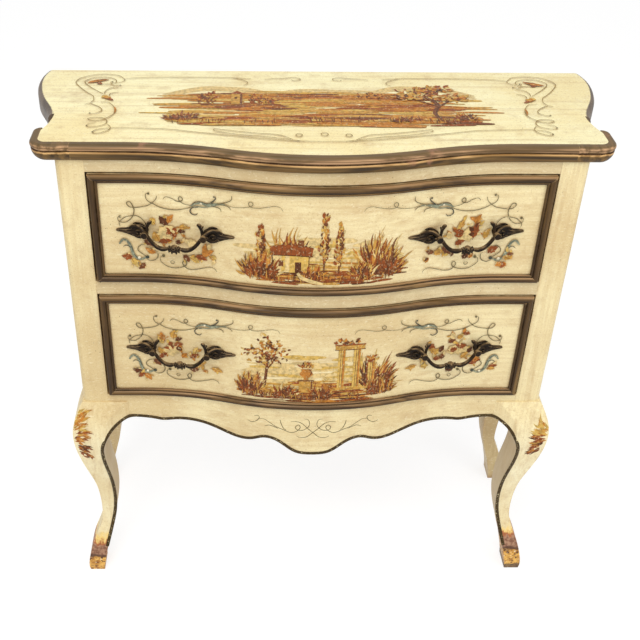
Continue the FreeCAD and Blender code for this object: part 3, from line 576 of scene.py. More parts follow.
# Scrolls and leaves round a pull: distance towards the chest's middle, height, both from the pull's centre
PULL_SCROLLS = [
    ("line", 1.3, (-36, 60, -39, 59, -39, 53, -36, 48, -29, 44, -20, 39, -7, 36, 5, 36, 18, 39, 29, 44)),
    ("line", 1.3, (-23, 57, -25, 51, -32, 44, -39, 40, -48, 38, -57, 37, -63, 38, -67, 43, -66, 46, -62, 46,
     -59, 41, -57, 33, -59, 24, -63, 18, -70, 13, -77, 13, -81, 16, -81, 21, -78, 22)),
    ("line", 1.1, (-79, 6, -80, 12, -77, 16, -71, 21, -64, 23, -56, 24, -49, 21, -44, 15, -42, 11)),
    ("line", 1.2, (-14, 52, -12, 55, -8, 56, 0, 53, 5, 50, 10, 50, 14, 53, 12, 57, 9, 57, 8, 53, 11, 49, 17,
     46, 26, 45)),
    ("slate", 3.2, (25, 44, 32, 48, 40, 50, 49, 48, 61, 51, 75, 52)),
    ("slate", 1.8, (29, 43, 34, 44, 45, 44, 55, 47, 66, 51)),
    ("deep_slate", 1.1, (26, 45, 32, 51, 40, 52, 49, 50, 58, 52)),
    ("deep_slate", 1.6, (36, 43, 27, 41, 24, 35, 27, 31, 32, 30, 35, 33)),
    ("deep_slate", 1.6, (48, 49, 55, 53, 61, 59, 61, 62, 59, 62)),
    ("line", 1.2, (61, 51, 71, 54, 80, 58, 84, 62, 84, 68)),
    ("line", 1.2, (55, 47, 64, 46, 68, 44, 69, 40)),
    ("line", 1.2, (64, 51, 74, 51, 80, 49, 83, 45)),
    ("line", 0.9, (76, 52, 87, 50, 99, 51, 108, 53, 114, 57, 113, 61, 109, 61, 108, 57, 112, 53, 123, 53,
     136, 56, 145, 58, 153, 56, 156, 51)),
    ("slate", 4.4, (-82, -24, -79, -19, -75, -16, -70, -19, -66, -27, -64, -36, -61, -44, -55, -49, -49,
     -49, -43, -46)),
    ("deep_slate", 1.1, (-75, -15, -68, -21, -64, -30, -62, -39, -57, -47, -49, -51)),
    ("deep_slate", 1.3, (-77, -29, -73, -26, -69, -27, -65, -31)),
    ("line", 1.3, (-45, -25, -50, -25, -55, -30, -55, -35, -51, -39, -46, -43, -41, -47)),
    ("line", 1.3, (-44, -49, -37, -52, -29, -49, -26, -42, -27, -37, -29, -36)),
    ("line", 1.3, (-17, -42, -22, -45, -23, -52, -17, -58, -10, -62, -1, -63, 8, -61, 15, -57, 16, -51, 13,
     -49, 10, -53, 12, -58, 18, -63, 28, -63, 41, -59, 51, -56, 58, -58, 61, -63)),
    ("line", 0.9, (-5, -50, -2, -53, -5, -56, -8, -53, -5, -50))]
PULL_DOTS = [("line", (-35, 60), 1.8), ("line", (-78, 22), 2.0), ("deep_slate", (-42, -46), 2.8),
             ("line", (-18, -43), 2.4), ("deep_slate", (59, 62), 1.4),
             ("pale", (-54, -47), 2.2), ("pale", (40, 49), 1.6)]
# Leaves: pigment, stalk, tip, width
PULL_LEAVES = {
    "upper_left": [
        ("wash", 33, -18, 13, -13, 11), ("wash", -2, 8, -30, -14, 20), ("umber", -9, 11, -21, 24, 10),
        ("amber", -9, 13, -1, 27, 7), ("gold", -28, 10, -34, 21, 7), ("rust", -6, 1, -17, 4, 6),
        ("rust", -7, 2, -12, -6, 6), ("rust", -6, -1, 1, -11, 9), ("rust", -3, 1, 4, 2, 6),
        ("umber", 5, 0, 16, 0, 5), ("ochre", 7, 7, 22, 7, 6), ("ochre", -23, -18, -30, -2, 10),
        ("rust", -23, -20, -4, -16, 8), ("umber", 5, -22, 7, -14, 7), ("brown", -45, -18, -33, -27, 8),
        ("amber", -29, -38, -44, -30, 6), ("rust", -65, -45, -80, -44, 9), ("gold", -66, -49, -58, -64, 8),
        ("brown", -47, -57, -56, -67, 7), ("brown", 12, -40, 20, -51, 8), ("gold", 22, -43, 35, -51, 7),
        ("rust", 30, -40, 47, -45, 8), ("amber", 41, -39, 57, -27, 9), ("amber", 44, -34, 46, -16, 5),
        ("ochre", 50, -37, 57, -44, 4)],
    "upper_right": [
        ("wash", 22, -8, 28, 3, 8), ("wash", 12, -10, -20, -4, 18), ("amber", -11, 14, -19, 29, 7),
        ("ochre", 9, 8, 6, 21, 7), ("rust", 4, 1, 22, 7, 7), ("rust", 5, -2, 18, -4, 6),
        ("rust", -11, -10, -17, 16, 11), ("umber", -11, 2, -3, 9, 5), ("umber", -13, -3, -3, -3, 5),
        ("umber", -13, 7, -17, 14, 4), ("rust", 15, -20, 1, -14, 8), ("ochre", -28, -12, -35, 5, 8),
        ("brown", 47, -29, 59, -26, 7), ("ochre", 46, -33, 31, -29, 9), ("brown", 35, -23, 21, -36, 8),
        ("umber", 55, -38, 60, -43, 3), ("umber", 17, -32, 20, -40, 3), ("umber", 1, -45, -10, -36, 8),
        ("amber", -9, -45, -14, -37, 5), ("rust", -37, -37, -51, -27, 10), ("brown", -66, -42, -76, -39, 5),
        ("ochre", -60, -45, -75, -48, 6), ("rust", -62, -54, -59, -64, 8), ("amber", -59, -54, -51, -60, 6)],
    "lower_left": [
        ("wash", -2, 2, -32, -8, 18), ("amber", -24, 14, -29, 30, 8), ("ochre", -10, 19, -7, 35, 9),
        ("umber", -7, 15, 4, 20, 5), ("rust", -9, 3, -26, 0, 7), ("rust", -12, 5, -17, 12, 6),
        ("rust", -10, 5, 5, 9, 6), ("umber", -7, 1, 3, -4, 6), ("gold", -25, 10, -32, 16, 5),
        ("ochre", -25, -13, -34, 1, 8), ("rust", -33, -21, -20, -10, 7), ("gold", 23, -10, 28, 5, 7),
        ("rust", 16, -17, 29, -9, 7), ("amber", 3, -18, 11, -9, 6), ("brown", -43, -25, -32, -36, 8),
        ("umber", -63, -48, -78, -43, 8), ("rust", -69, -60, -58, -52, 7), ("amber", -59, -54, -49, -66, 8),
        ("brown", 15, -41, 29, -40, 9), ("ochre", 25, -36, 41, -22, 9), ("amber", 35, -41, 43, -42, 3),
        ("ochre", 49, -34, 67, -39, 7)],
    "lower_right": [
        ("wash", -5, 18, -2, 32, 8), ("wash", 4, -6, -34, -4, 18), ("rust", -18, 29, -30, 27, 6),
        ("ochre", -10, 20, -20, 23, 6), ("brown", 3, 12, -8, 17, 7), ("rust", -12, 1, 3, -4, 8),
        ("rust", -12, 3, -16, 9, 7), ("rust", -14, 1, -27, 5, 9), ("rust", 38, 12, 24, 1, 8),
        ("ochre", 32, 4, 21, -11, 8), ("umber", 15, -5, 10, 7, 6), ("brown", 11, -19, 10, -9, 8),
        ("rust", 25, -18, 14, -18, 6), ("umber", -31, -10, -36, 1, 7), ("ochre", -21, -20, -31, -9, 9),
        ("rust", -35, -33, -53, -24, 9), ("amber", -44, -29, -47, -18, 7), ("rust", -68, -41, -82, -36, 7),
        ("ochre", -67, -43, -79, -44, 5), ("ochre", 41, -21, 37, -14, 6), ("gold", 45, -31, 32, -30, 7),
        ("ochre", 53, -26, 69, -29, 7), ("umber", 1, -46, -12, -37, 9)]}
LEAF_FULLNESS, LOBED_FROM_WIDTH = 1.45, 6
VEIN_WIDTH, VEIN_BACK = 0.8, 0.15


def paint_pull(painting, pull, side):
    """Scroll work and leaf sprays round one pull; side is -1 on the left and 1 on the right."""
    place = joints[pull + "_bail_swing"]["pos_m"]
    middle, level = place[0] / MM, place[2] / MM

    def at(inward, up):
        return Vector((middle - side * inward, level + up))

    for pigment, width, points in PULL_SCROLLS:
        painting.line([at(*point) for point in pairs(points)], width, pigment, taper=0.4)
    for pigment, point, radius in PULL_DOTS:
        painting.dot(at(*point), radius, pigment)
    leaves = [(row[0], at(*row[1:3]), at(*row[3:5]), row[5]) for row in PULL_LEAVES[pull]]
    land = Landscape(painting, len(pull))
    for _, near, far, _ in leaves:
        land.dabs(near.lerp(far, 0.4), reach=(7, 6), count=3, pigments=["gold", "ochre", "amber", "wash"],
                  length=8, lean=far - near, spread=1.6)
    for pigment, near, far, width in leaves:
        painting.leaf(near, far, LEAF_FULLNESS * width, pigment, lobes=3 if width > LOBED_FROM_WIDTH else 0)
        if pigment not in ("wash", "umber"):
            vein = "umber" if pigment in ("rust", "brown") else "rust"
            stalk = near - VEIN_BACK * (far - near)
            painting.line([stalk, near.lerp(far, 0.4), near.lerp(far, 0.8)], VEIN_WIDTH, vein)


# Landscapes
WARM = ["rust", "rust", "amber", "brown", "umber", "ochre"]
LIGHT = ["amber", "ochre", "ochre", "gold", "rust", "wash"]
DARK, HAZE = ["umber", "brown"], ["wash", "gold", "wash"]
UPWARD, DOWNWARD = (0, 1), (0, -1)


class Landscape:
    """Loose brushwork of plants, ground and buildings on one painting."""

    def __init__(self, painting, seed):
        draw = random.Random(seed)
        self.share, self.uniform = draw.random, draw.uniform
        self.choice, self.triangular = draw.choice, draw.triangular
        self.line, self.leaf = painting.line, painting.leaf

    def dabs(self, middle, reach, count, pigments, length, lean=UPWARD, spread=1.2):
        """Leaf marks scattered round a place, most of them near it."""
        for _ in range(count):
            turn = math.tau * self.share()
            far = self.share() ** 0.7
            place = Vector(middle) + far * polar(turn, *reach)
            angle = math.atan2(lean[1], lean[0]) + self.uniform(-spread, spread)
            long = length * self.uniform(0.6, 1.3)
            tip = place + polar(angle, long, long)
            self.leaf(place, tip, long * self.uniform(0.35, 0.6), self.choice(pigments))

    def ground(self, left, right, low, high, count, pigments, longest, widest=4.6):
        """Level strokes, shorter towards the ends."""
        for _ in range(count):
            middle = self.triangular(left, right, (left + right) / 2)
            share = (middle - left) / (right - left) * 2 - 1
            level = (low + high) / 2 + self.uniform(-0.6, 0.6) * (high - low) * (1 - 0.6 * share * share)
            half = longest * self.uniform(0.25, 0.5)
            rise = self.uniform(-1.5, 1.5)
            points = [(middle - half, level - rise), (middle, level + 0.6), (middle + half, level + rise)]
            self.line(points, self.uniform(0.3, 1) * widest, self.choice(pigments), 0.25)

    def grass(self, left, right, level, count, tall):
        for _ in range(count):
            x = self.uniform(left, right)
            low = level + self.uniform(-4, 4)
            tip = (x + self.uniform(-4, 4), low + tall * self.uniform(0.5, 1.1))
            bend = ((x + tip[0]) / 2, (low + 2 * tip[1]) / 3)
            self.line([(x, low), bend, tip], 1.2, self.choice(WARM), 0.2)

    def trunk(self, points, width):
        self.line(points, width, "brown", 0.5)
        self.line([(x + width * 0.25, y) for x, y in points], width * 0.3, "umber", 0.5)

    def poplar(self, x, low, tall, wide):
        self.trunk([(x, low), (x, low + 0.25 * tall)], 2.4)
        for share, reach in ((0.25, 0.7), (0.42, 1.0), (0.58, 0.95), (0.73, 0.7), (0.87, 0.4)):
            middle = (x, low + share * tall)
            self.dabs(middle, (wide * reach, 0.12 * tall), 20, LIGHT + WARM, 7, UPWARD, 0.5)
        shaded = (x + 0.4 * wide, low + 0.5 * tall)
        self.dabs(shaded, (0.35 * wide, 0.3 * tall), 14, DARK, 6, UPWARD, 0.4)

    def round_tree(self, x, low, tall, wide):
        self.trunk([(x - 3, low), (x, low + 0.3 * tall), (x + 3, low + 0.6 * tall)], 4.5)
        self.trunk([(x, low + 0.35 * tall), (x + 0.4 * wide, low + 0.62 * tall)], 2.2)
        for across, up, reach in ((-0.45, 0.62, 0.5), (0.4, 0.66, 0.52), (0, 0.82, 0.55), (-0.1, 0.6, 0.45)):
            middle = (x + across * wide, low + up * tall)
            self.dabs(middle, (reach * wide, 0.16 * tall), 34, LIGHT + WARM, 7, (0.3, 1), 1.4)
        shaded = (x + 0.15 * wide, low + 0.58 * tall)
        self.dabs(shaded, (0.7 * wide, 0.07 * tall), 22, DARK, 5, DOWNWARD)

    def shrub(self, x, low, wide, tall, count):
        """Twigs that fan out from the ground, light ones behind dark ones."""
        for reach, pigments in ((1.0, LIGHT), (0.85, WARM), (0.6, DARK + ["rust"])):
            for _ in range(count // 2):
                turn = math.pi * self.uniform(0.08, 0.92)
                base = Vector((x + 0.4 * wide * self.uniform(-1, 1), low + 0.2 * tall * self.share()))
                far = reach * self.uniform(0.5, 1.0)
                tip = base + far * polar(turn, 0.8 * wide, 0.9 * tall)
                stalk = base.lerp(tip, self.uniform(0.1, 0.5))
                self.leaf(stalk, tip, self.uniform(2.2, 4.2), self.choice(pigments))

    def hill(self, left, right, low, high, pigment, rows):
        wide = right - left
        for drop in range(0, 3 * rows, 3):
            crest = high - drop
            points = [(left, low - drop), (left + 0.3 * wide, crest - 2), (left + 0.5 * wide, crest),
                      (left + 0.75 * wide, crest - 6), (right, low - drop)]
            self.line(points, 3.4, pigment, 0.2)

    def fence(self, left, right, level, step):
        for x in range(left, right + 1, step):
            self.line([(x, level - 7), (x + 0.5, level + 8)], 1.8, "umber", 0.7)
        for up in (level - 1, level + 4):
            self.line([(left - 2, up), ((left + right) / 2, up - 1), (right + 2, up)], 1.1, "brown", 0.8)


def paint_cottage(painting):
    """Cottage with poplars and a fence."""
    land = Landscape(painting, 11)
    block, line = painting.block, painting.line
    land.hill(-108, 10, 690, 704, "wash", 8)
    land.hill(20, 122, 688, 704, "gold", 8)
    land.ground(-104, 112, 672, 716, 60, HAZE, 56, 8)
    land.ground(-112, 122, 650, 680, 110, LIGHT, 60)
    land.ground(-100, 112, 643, 664, 90, WARM, 44)
    land.shrub(-44, 676, 46, 66, 70)
    land.shrub(84, 664, 40, 74, 70)
    land.poplar(4, 664, 98, 9)
    land.poplar(26, 662, 84, 8)
    land.poplar(-88, 664, 74, 8)
    block(-70, -18, 664, 692, "gold")
    block(-70, -46, 664, 692, "wash")
    roof = [(-74, 699, 15), (-60, 701, 17), (-44, 702, 18), (-28, 701, 17), (-13, 699, 15)]
    painting.ribbon(roof, "rust")
    for i in range(9):
        line([(-72 + 7 * i, 692), (-70 + 6.6 * i, 708)], 1.0, "brown")
    block(-34, -26, 707, 719, "brown")
    block(-38, -29, 664, 682, "umber")
    block(-62, -55, 674, 684, "brown")
    for x in (-71, -18):
        line([(x, 664), (x, 692)], 1.2, "umber", 0.8)
    line([(-76, 692), (-44, 693), (-12, 692)], 1.6, "umber", 0.8)
    land.fence(44, 114, 666, 10)
    land.shrub(96, 650, 40, 66, 130)
    land.shrub(62, 650, 28, 36, 80)
    land.shrub(-88, 648, 40, 56, 130)
    land.shrub(-12, 648, 26, 34, 70)
    land.grass(-104, 112, 650, 90, 14)
    line([(-34, 664), (-28, 656), (-14, 650), (4, 645)], 6, "wash", 0.6)


def paint_ruin(painting):
    """Broken columns, an urn and a round tree."""
    land = Landscape(painting, 23)
    block, line = painting.block, painting.line
    land.hill(-118, 0, 472, 492, "wash", 8)
    land.hill(10, 128, 468, 488, "gold", 8)
    land.ground(-108, 116, 452, 504, 60, HAZE, 56, 8)
    land.ground(-118, 126, 426, 458, 110, LIGHT, 64)
    land.ground(-106, 116, 418, 440, 90, WARM, 46)
    land.round_tree(-78, 438, 112, 40)
    land.shrub(96, 436, 42, 84, 100)
    for left, top in ((34, 522), (58, 528), (82, 496)):
        block(left, left + 11, 446, top, "gold")
        line([(left + 9, 446), (left + 9, top)], 2.6, "amber", 0.9)
        for x in (left + 4, left + 7):
            line([(x, 447), (x, top - 1)], 0.9, "brown", 0.9)
        block(left - 3, left + 14, 441, 447, "ochre")
        line([(left - 3, 441), (left + 14, 441)], 1.2, "umber", 0.8)
    block(29, 75, 522, 530, "ochre")
    line([(28, 531), (76, 531)], 2.0, "rust", 0.8)
    line([(28, 522), (76, 522)], 1.4, "umber", 0.8)
    land.dabs((48, 534), (22, 5), 24, WARM, 6)
    land.dabs((88, 498), (8, 6), 16, WARM, 6, UPWARD, 1.3)
    block(-26, -4, 438, 462, "ochre")
    line([(-28, 462), (-2, 462)], 2.4, "brown", 0.8)
    line([(-6, 439), (-6, 461)], 2.4, "brown", 0.9)
    urn_widths = (9, 5, 12, 19, 21, 17, 13, 18)
    painting.ribbon([(-15, 464 + 3 * i, wide) for i, wide in enumerate(urn_widths)], "amber")
    line([(-9, 472), (-7, 479), (-10, 485)], 2.2, "brown")
    land.dabs((-15, 490), (12, 6), 30, WARM + LIGHT, 7, UPWARD, 1.0)
    land.shrub(104, 424, 32, 46, 100)
    land.shrub(10, 426, 24, 34, 60)
    land.shrub(-48, 424, 28, 34, 80)
    land.shrub(-102, 424, 30, 56, 100)
    land.grass(86, 124, 432, 40, 30)
    land.grass(-116, 80, 426, 80, 13)


def paint_lake(painting):
    """Lake with far hills, a small tower among firs and a leaning tree on the near bank."""
    land = Landscape(painting, 37)
    block, line = painting.block, painting.line
    land.hill(-236, -60, 62, 90, "wash", 6)
    land.hill(-90, 90, 60, 82, "wash", 5)
    land.hill(60, 238, 62, 94, "wash", 6)
    land.hill(-150, 20, 58, 74, "ochre", 3)
    land.ground(-245, 245, -44, 66, 150, ["wash", "gold", "gold", "ochre"], 110, 11)
    land.ground(-250, 250, 38, 64, 110, ["amber", "ochre", "rust", "amber", "brown"], 90, 7)
    land.ground(-240, 240, -30, 40, 130, ["amber", "ochre", "gold", "amber"], 90, 8)
    land.ground(-200, -30, 4, 26, 70, ["rust", "brown", "amber"], 56, 6)
    land.ground(30, 220, 2, 22, 60, ["rust", "amber"], 56, 6)
    block(-132, -114, 24, 62, "ochre")
    line([(-117, 24), (-117, 62)], 4.0, "brown", 0.9)
    spire_widths = (24, 18, 12, 7, 2)
    painting.ribbon([(-123, 62 + 3 * i, wide) for i, wide in enumerate(spire_widths)], "rust")
    block(-127, -123, 44, 51, "umber")
    for x, tall in ((-176, 42), (-160, 54), (-98, 46), (-84, 36), (-70, 28)):
        land.dabs((x, 24 + 0.4 * tall), (7, 0.42 * tall), 26, WARM + ["brown"], 8, UPWARD, 0.7)
    for x, tall in ((62, 24), (76, 34), (92, 22)):
        land.dabs((x, 44 + 0.4 * tall), (6, 0.4 * tall), 16, WARM, 7, UPWARD, 0.7)
    land.ground(-60, 244, -50, -14, 130, ["rust", "amber", "amber", "brown", "ochre"], 84, 8)
    land.ground(-230, 0, -48, -24, 90, ["amber", "rust", "ochre", "gold"], 74, 8)
    land.trunk([(176, -34), (168, -6), (176, 26), (160, 58)], 7)
    land.trunk([(172, 12), (196, 40)], 4)
    land.trunk([(172, 22), (140, 48)], 3)
    for x, y, wide, tall in ((158, 66, 40, 18), (198, 48, 28, 16), (136, 50, 24, 13), (178, 80, 28, 12)):
        land.dabs((x, y), (wide, tall), 70, WARM + LIGHT, 11, (0.4, 1), 1.4)
    land.shrub(210, -34, 26, 34, 80)
    land.shrub(120, -40, 24, 28, 70)
    land.shrub(-200, -36, 34, 34, 90)
    land.grass(-20, 226, -40, 60, 22)
    land.grass(-216, -60, -44, 34, 16)


# Line scrolls on the left half of the apron and the top, repeated on the right
APRON_LINE_WIDTH, TOP_LINE_WIDTH, TOP_RING_WIDTH, TOP_DOT_RADIUS = 1.2, 1.4, 1.3, 1.5
APRON_LINES = [
    (-107, 371, -100, 368, -92, 372, -88, 379, -90, 383, -96, 382),
    (-88, 377, -80, 377, -70, 370, -61, 363, -48, 357, -36, 352, -27, 355, -21, 363, -24, 369, -29, 364,
     -25, 358, -16, 358, -8, 365, -6, 373, -9, 381, -15, 382),
    (-54, 378, -52, 369, -48, 360, -44, 357),
    (-79, 362, -72, 365, -65, 363, -57, 359),
    (-37, 375, -27, 376, -18, 372, -8, 361, 2, 351, 11, 343, 21, 342, 27, 345)]
TOP_LINES = [
    (-341, 22, -337, 32, -337, 41, -340, 51, -349, 62, -360, 78, -370, 96, -372, 106, -366, 120, -351, 131,
     -332, 135, -311, 131, -302, 121, -298, 113, -301, 105, -309, 99),
    (-325, 57, -337, 71, -349, 86, -358, 101, -357, 110, -346, 121, -330, 123, -318, 119, -311, 111, -311,
     102, -316, 98, -319, 104, -316, 107),
    (-348, 18, -341, 22, -331, 15, -323, 6, -320, -1, -322, -8, -329, -14, -336, -13),
    (-323, 57, -323, 67, -318, 78, -310, 83, -305, 82),
    (-315, 49, -315, 57, -310, 62, -302, 64),
    (-325, 27, -314, 26, -306, 15, -302, 3, -301, -12, -305, -23, -311, -30, -317, -37, -327, -39, -334,
     -36, -336, -32, -329, -28, -319, -28, -312, -32, -308, -41, -310, -51, -319, -58, -330, -60, -335, -56,
     -332, -49, -323, -46),
    (-306, -51, -301, -61, -303, -71, -312, -79, -320, -81, -324, -77, -319, -69, -309, -65, -302, -64),
    (-301, -62, -260, -64, -217, -67, -174, -77, -123, -88, -89, -95, -47, -102, 0, -104),
    (-299, 116, -281, 121, -246, 124, -180, 125, -135, 124, -120, 118, -109, 109, -108, 101, -114, 93),
    (-132, 124, -117, 122, -102, 120),
    (-81, 117, -69, 121, -51, 123, -36, 126, -26, 122, -27, 116, -36, 113, -39, 117),
    (-331, 96, -319, 95, -311, 90, -303, 91),
    (-154, -64, -153, -71, -123, -82, -89, -88, -56, -96, -29, -104),
    (-154, -64, -123, -72, -89, -79, -64, -83, -44, -98)]
TOP_DOTS = [(-336, -13), (-324, -77), (-335, -56), (-303, 91), (-316, 104)]
TOP_LEAVES = [("amber", -354, 100, -323, 113, 9), ("rust", -340, 100, -331, 96, 7),
              ("brown", -342, 108, -322, 115, 4), ("gold", -326, 50, -318, 44, 12),
              ("amber", -322, 48, -312, 36, 9), ("rust", -316, 40, -307, 33, 5),
              ("ochre", -320, 42, -312, 46, 7), ("amber", -303, 10, -301, -14, 3)]
# Sprays on the knees: brush marks that fan out from the outer edge, gold above and rust below
KNEE_EDGE, KNEE_TUCK, KNEE_DEPTH, KNEE_MARKS = 397, 9, 16, 80
KNEE_REACH = {-1: (368, 280), 1: (350, 292)}
KNEE_TOP_TURN, KNEE_LOW_TURN, KNEE_TOP_LENGTH, KNEE_LOW_LENGTH = 0.9, -1.0, 21, 12
KNEE_TINTS = [["gold", "gold", "amber", "ochre"], ["amber", "amber", "ochre", "rust", "umber"],
              ["rust", "brown", "amber", "rust", "umber"]]


def paint_knee(painting, side):
    draw = random.Random(50 + side)
    high, low = KNEE_REACH[side]
    for _ in range(KNEE_MARKS):
        share = draw.random()
        edge = KNEE_EDGE - KNEE_TUCK * share ** 3
        base = Vector((edge - draw.uniform(0, KNEE_DEPTH), high + share * (low - high)))
        turn = KNEE_TOP_TURN + share * (KNEE_LOW_TURN - KNEE_TOP_TURN) + draw.uniform(-0.4, 0.4)
        long = KNEE_TOP_LENGTH + share * (KNEE_LOW_LENGTH - KNEE_TOP_LENGTH)
        long *= draw.uniform(0.6, 1.15)
        tip = base + polar(turn, -long, long)
        tints = KNEE_TINTS[min(2, int(3 * share))]
        wide = draw.uniform(3.0, 5.2)
        painting.leaf((side * base.x, base.y), (side * tip.x, tip.y), wide, draw.choice(tints))


def paint_ornament(finishes):
    for drawer, scene in (("upper", paint_cottage), ("lower", paint_ruin)):
        painting = Painting(drawer + "_front_painting", INTO_FRONT, drawer + "_drawer_front")
        scene(painting)
        for name, side in (("left", -1), ("right", 1)):
            paint_pull(painting, drawer + "_" + name, side)
        painting.show(drawer + "_drawer", finishes)
    apron = Painting("apron_painting", INTO_FRONT, "apron_rail")
    top = Painting("top_painting", DOWN, "top_board")
    paint_lake(top)
    for name, side in (("left", -1), ("right", 1)):
        for line in APRON_LINES:
            apron.line([(-side * x, z) for x, z in pairs(line)], APRON_LINE_WIDTH, "line")
        for line in TOP_LINES:
            top.line([(-side * x, y) for x, y in pairs(line)], TOP_LINE_WIDTH, "sepia", taper=0.6)
        for x, y in TOP_DOTS:
            top.dot((-side * x, y), TOP_DOT_RADIUS, "line")
        for pigment, x, y, to_x, to_y, width in TOP_LEAVES:
            top.leaf((-side * x, y), (-side * to_x, to_y), width, pigment)
        top.ring((side * 35, -84), 4.5, TOP_RING_WIDTH, "sepia")
        knee = Painting("knee_painting_" + name, INTO_FRONT, "front_leg_" + name)
        paint_knee(knee, side)
        knee.show("case", finishes)
    top.ring((1, -81), 5.0, TOP_RING_WIDTH, "sepia")
    apron.show("case", finishes)
    top.show("case", finishes)


# Dark gilt bead round the arch between the legs
BEAD_HALF_WIDTH, BEAD_HEIGHT, BEAD_SIDES, BEAD_STEP_MM = 3.0, 1.4, 10, 3.0
BEAD_INSET_SHARE, FACE_INSET, SMOOTHINGS = 0.6, 3, 2
FRONT_LIMIT = -0.03
# Heights and widths between which the arch's edge is looked for, in millimetres
APRON_INSIDE, ARCH_OPEN, LEG_INSIDE = 395, 250, 372
APRON_COLUMNS, LEG_LEVELS, HALVINGS = range(0, 340, 6), range(318, 48, -8), 12


def front_spot(tree, x, z):
    """Place met from the front at a spot in millimetres, or None."""
    return tree.ray_cast(Vector((x, -FAR_MM, z)) * MM, INTO_FRONT)[0]


def trace_arch(tree):
    """Lower edge of apron, bracket and leg on the right half, from the middle to the foot, in millimetres."""

    def meet(inside, outside):
        for _ in range(HALVINGS):
            middle = (inside + outside) / 2
            place = front_spot(tree, *middle)
            if place is not None and place.y < FRONT_LIMIT:
                inside = middle
            else:
                outside = middle
        return inside

    edge = [meet(Vector((x, APRON_INSIDE)), Vector((x, ARCH_OPEN))) for x in APRON_COLUMNS]
    return edge + [meet(Vector((LEG_INSIDE, z)), Vector((ARCH_OPEN, z))) for z in LEG_LEVELS]


def add_gilt_bead(finish):
    tree = node_tree("apron_rail", "knee_brackets", "front_leg_left", "front_leg_right")
    edge = trace_arch(tree)
    places = []
    for i, point in enumerate(edge):
        ahead = heading(edge, i)
        inward = Vector((-ahead.y, ahead.x)).normalized()
        depth = front_spot(tree, *(point + FACE_INSET * inward)).y / MM
        line = point + BEAD_INSET_SHARE * BEAD_HALF_WIDTH * inward
        places.append(Vector((line.x, depth, line.y)))
    path = [Vector((-p.x, p.y, p.z)) for p in reversed(places[1:])] + places
    for _ in range(SMOOTHINGS):
        path = [path[0]] + [(a + 2 * b + c) / 4 for a, b, c in zip(path, path[1:], path[2:])] + [path[-1]]
    path = smooth_path(path, BEAD_STEP_MM)
    spots, rows = [], []
    for i, point in enumerate(path):
        ahead = heading(path, i)
        across = Vector((-ahead.z, 0, ahead.x)).normalized()
        out = across.cross(ahead).normalized()
        row = []
        for k in range(BEAD_SIDES):
            turn = math.tau * k / BEAD_SIDES
            reach = BEAD_HALF_WIDTH * math.cos(turn) * across + BEAD_HEIGHT * math.sin(turn) * out
            row.append(len(spots))
            spots.append((point + reach) * MM)
        rows.append(row + row[:1])
    mesh = make_mesh("arch_gilt_bead", spots, strip(rows), finish)
    mesh.shade_smooth()
    add_piece("arch_gilt_bead", mesh, "case")


# Cast pulls
class Mould:
    """Casting under construction, in millimetres along the pull, out from its pivot and up."""

    def __init__(self, name):
        self.name = name
        self.spots, self.faces = [], []

    def set_frame(self, joint):
        self.middle = Vector(joint["pos_m"])
        self.along = -Vector(joint["axis"])
        self.out = Vector((self.along.y, -self.along.x, 0))

    def at(self, place):
        reach = place[0] * self.along + place[1] * self.out + place[2] * Vector((0, 0, 1))
        return self.middle + reach * MM

    def tube(self, points, sides=12, flutes=0, depth=0.0, step=1.5):
        """Round bar along points that hold along, out, up and radius."""
        path = smooth_path(points, step)
        rings = []
        for i, point in enumerate(path):
            ahead = heading(path, i).xyz.normalized()
            across = ahead.cross(Vector((0, 1, 0))).normalized()
            over = across.cross(ahead)
            ring = []
            for k in range(sides):
                turn = math.tau * k / sides
                radius = point.w * (1 + depth * math.cos(flutes * turn))
                reach = radius * (math.cos(turn) * over + math.sin(turn) * across)
                ring.append(len(self.spots))
                self.spots.append(self.at(point.xyz + reach))
            rings.append(ring)
        for ring, after in zip(rings, rings[1:]):
            self.faces += [(ring[k], ring[k - 1], after[k - 1], after[k]) for k in range(sides)]
        self.faces += [rings[0], rings[-1][::-1]]

    def ball(self, along, out, up, radius):
        reach = [(-1, 0.05), (-0.8, 0.6), (-0.45, 0.9), (0, 1), (0.45, 0.9), (0.8, 0.6), (1, 0.05)]
        self.tube([(along + share * radius, out, up, size * radius) for share, size in reach])

    def show(self, body, finish, *stands_for):
        mesh = make_mesh(self.name, self.spots, self.faces, finish)
        shape = bmesh.new()
        shape.from_mesh(mesh)
        bmesh.ops.recalc_face_normals(shape, faces=shape.faces)
        shape.to_mesh(mesh)
        shape.free()
        mesh.shade_smooth()
        piece = add_piece(self.name, mesh, body)
        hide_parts(*stands_for)


PULL_HALF_SPACING, STANDOFF = 43.0, 17.0
# Plate outline: distance outward from the post, upper and lower edge
PLATE_EDGE = [(-3, 1, -1), (-2, 4.5, -4.5), (1, 7.5, -8), (5, 9.5, -11), (10, 10.5, -12.5), (15, 10, -12.5),
              (20, 8, -11), (24, 5.5, -9), (28, 3.6, -7.2), (33, 3.4, -5.8), (38, 3.0, -4.2), (42, 2.2, -2.8),
              (44, 0.4, -0.5)]
PLATE_ROWS, PLATE_HALF_COLUMNS, PROBE_START = 48, 8, 60
VOLUTE_AT, VOLUTE_REACH, VOLUTE_HEIGHT, VOLUTE_WIND = Vector((11.5, -1.5)), 9.0, 1.3, 1.7
PLATE_THICKNESS, PLATE_THINNING, STRAND_HEIGHT, RIM_DROP = 4.6, 0.08, 1.1, 1.0
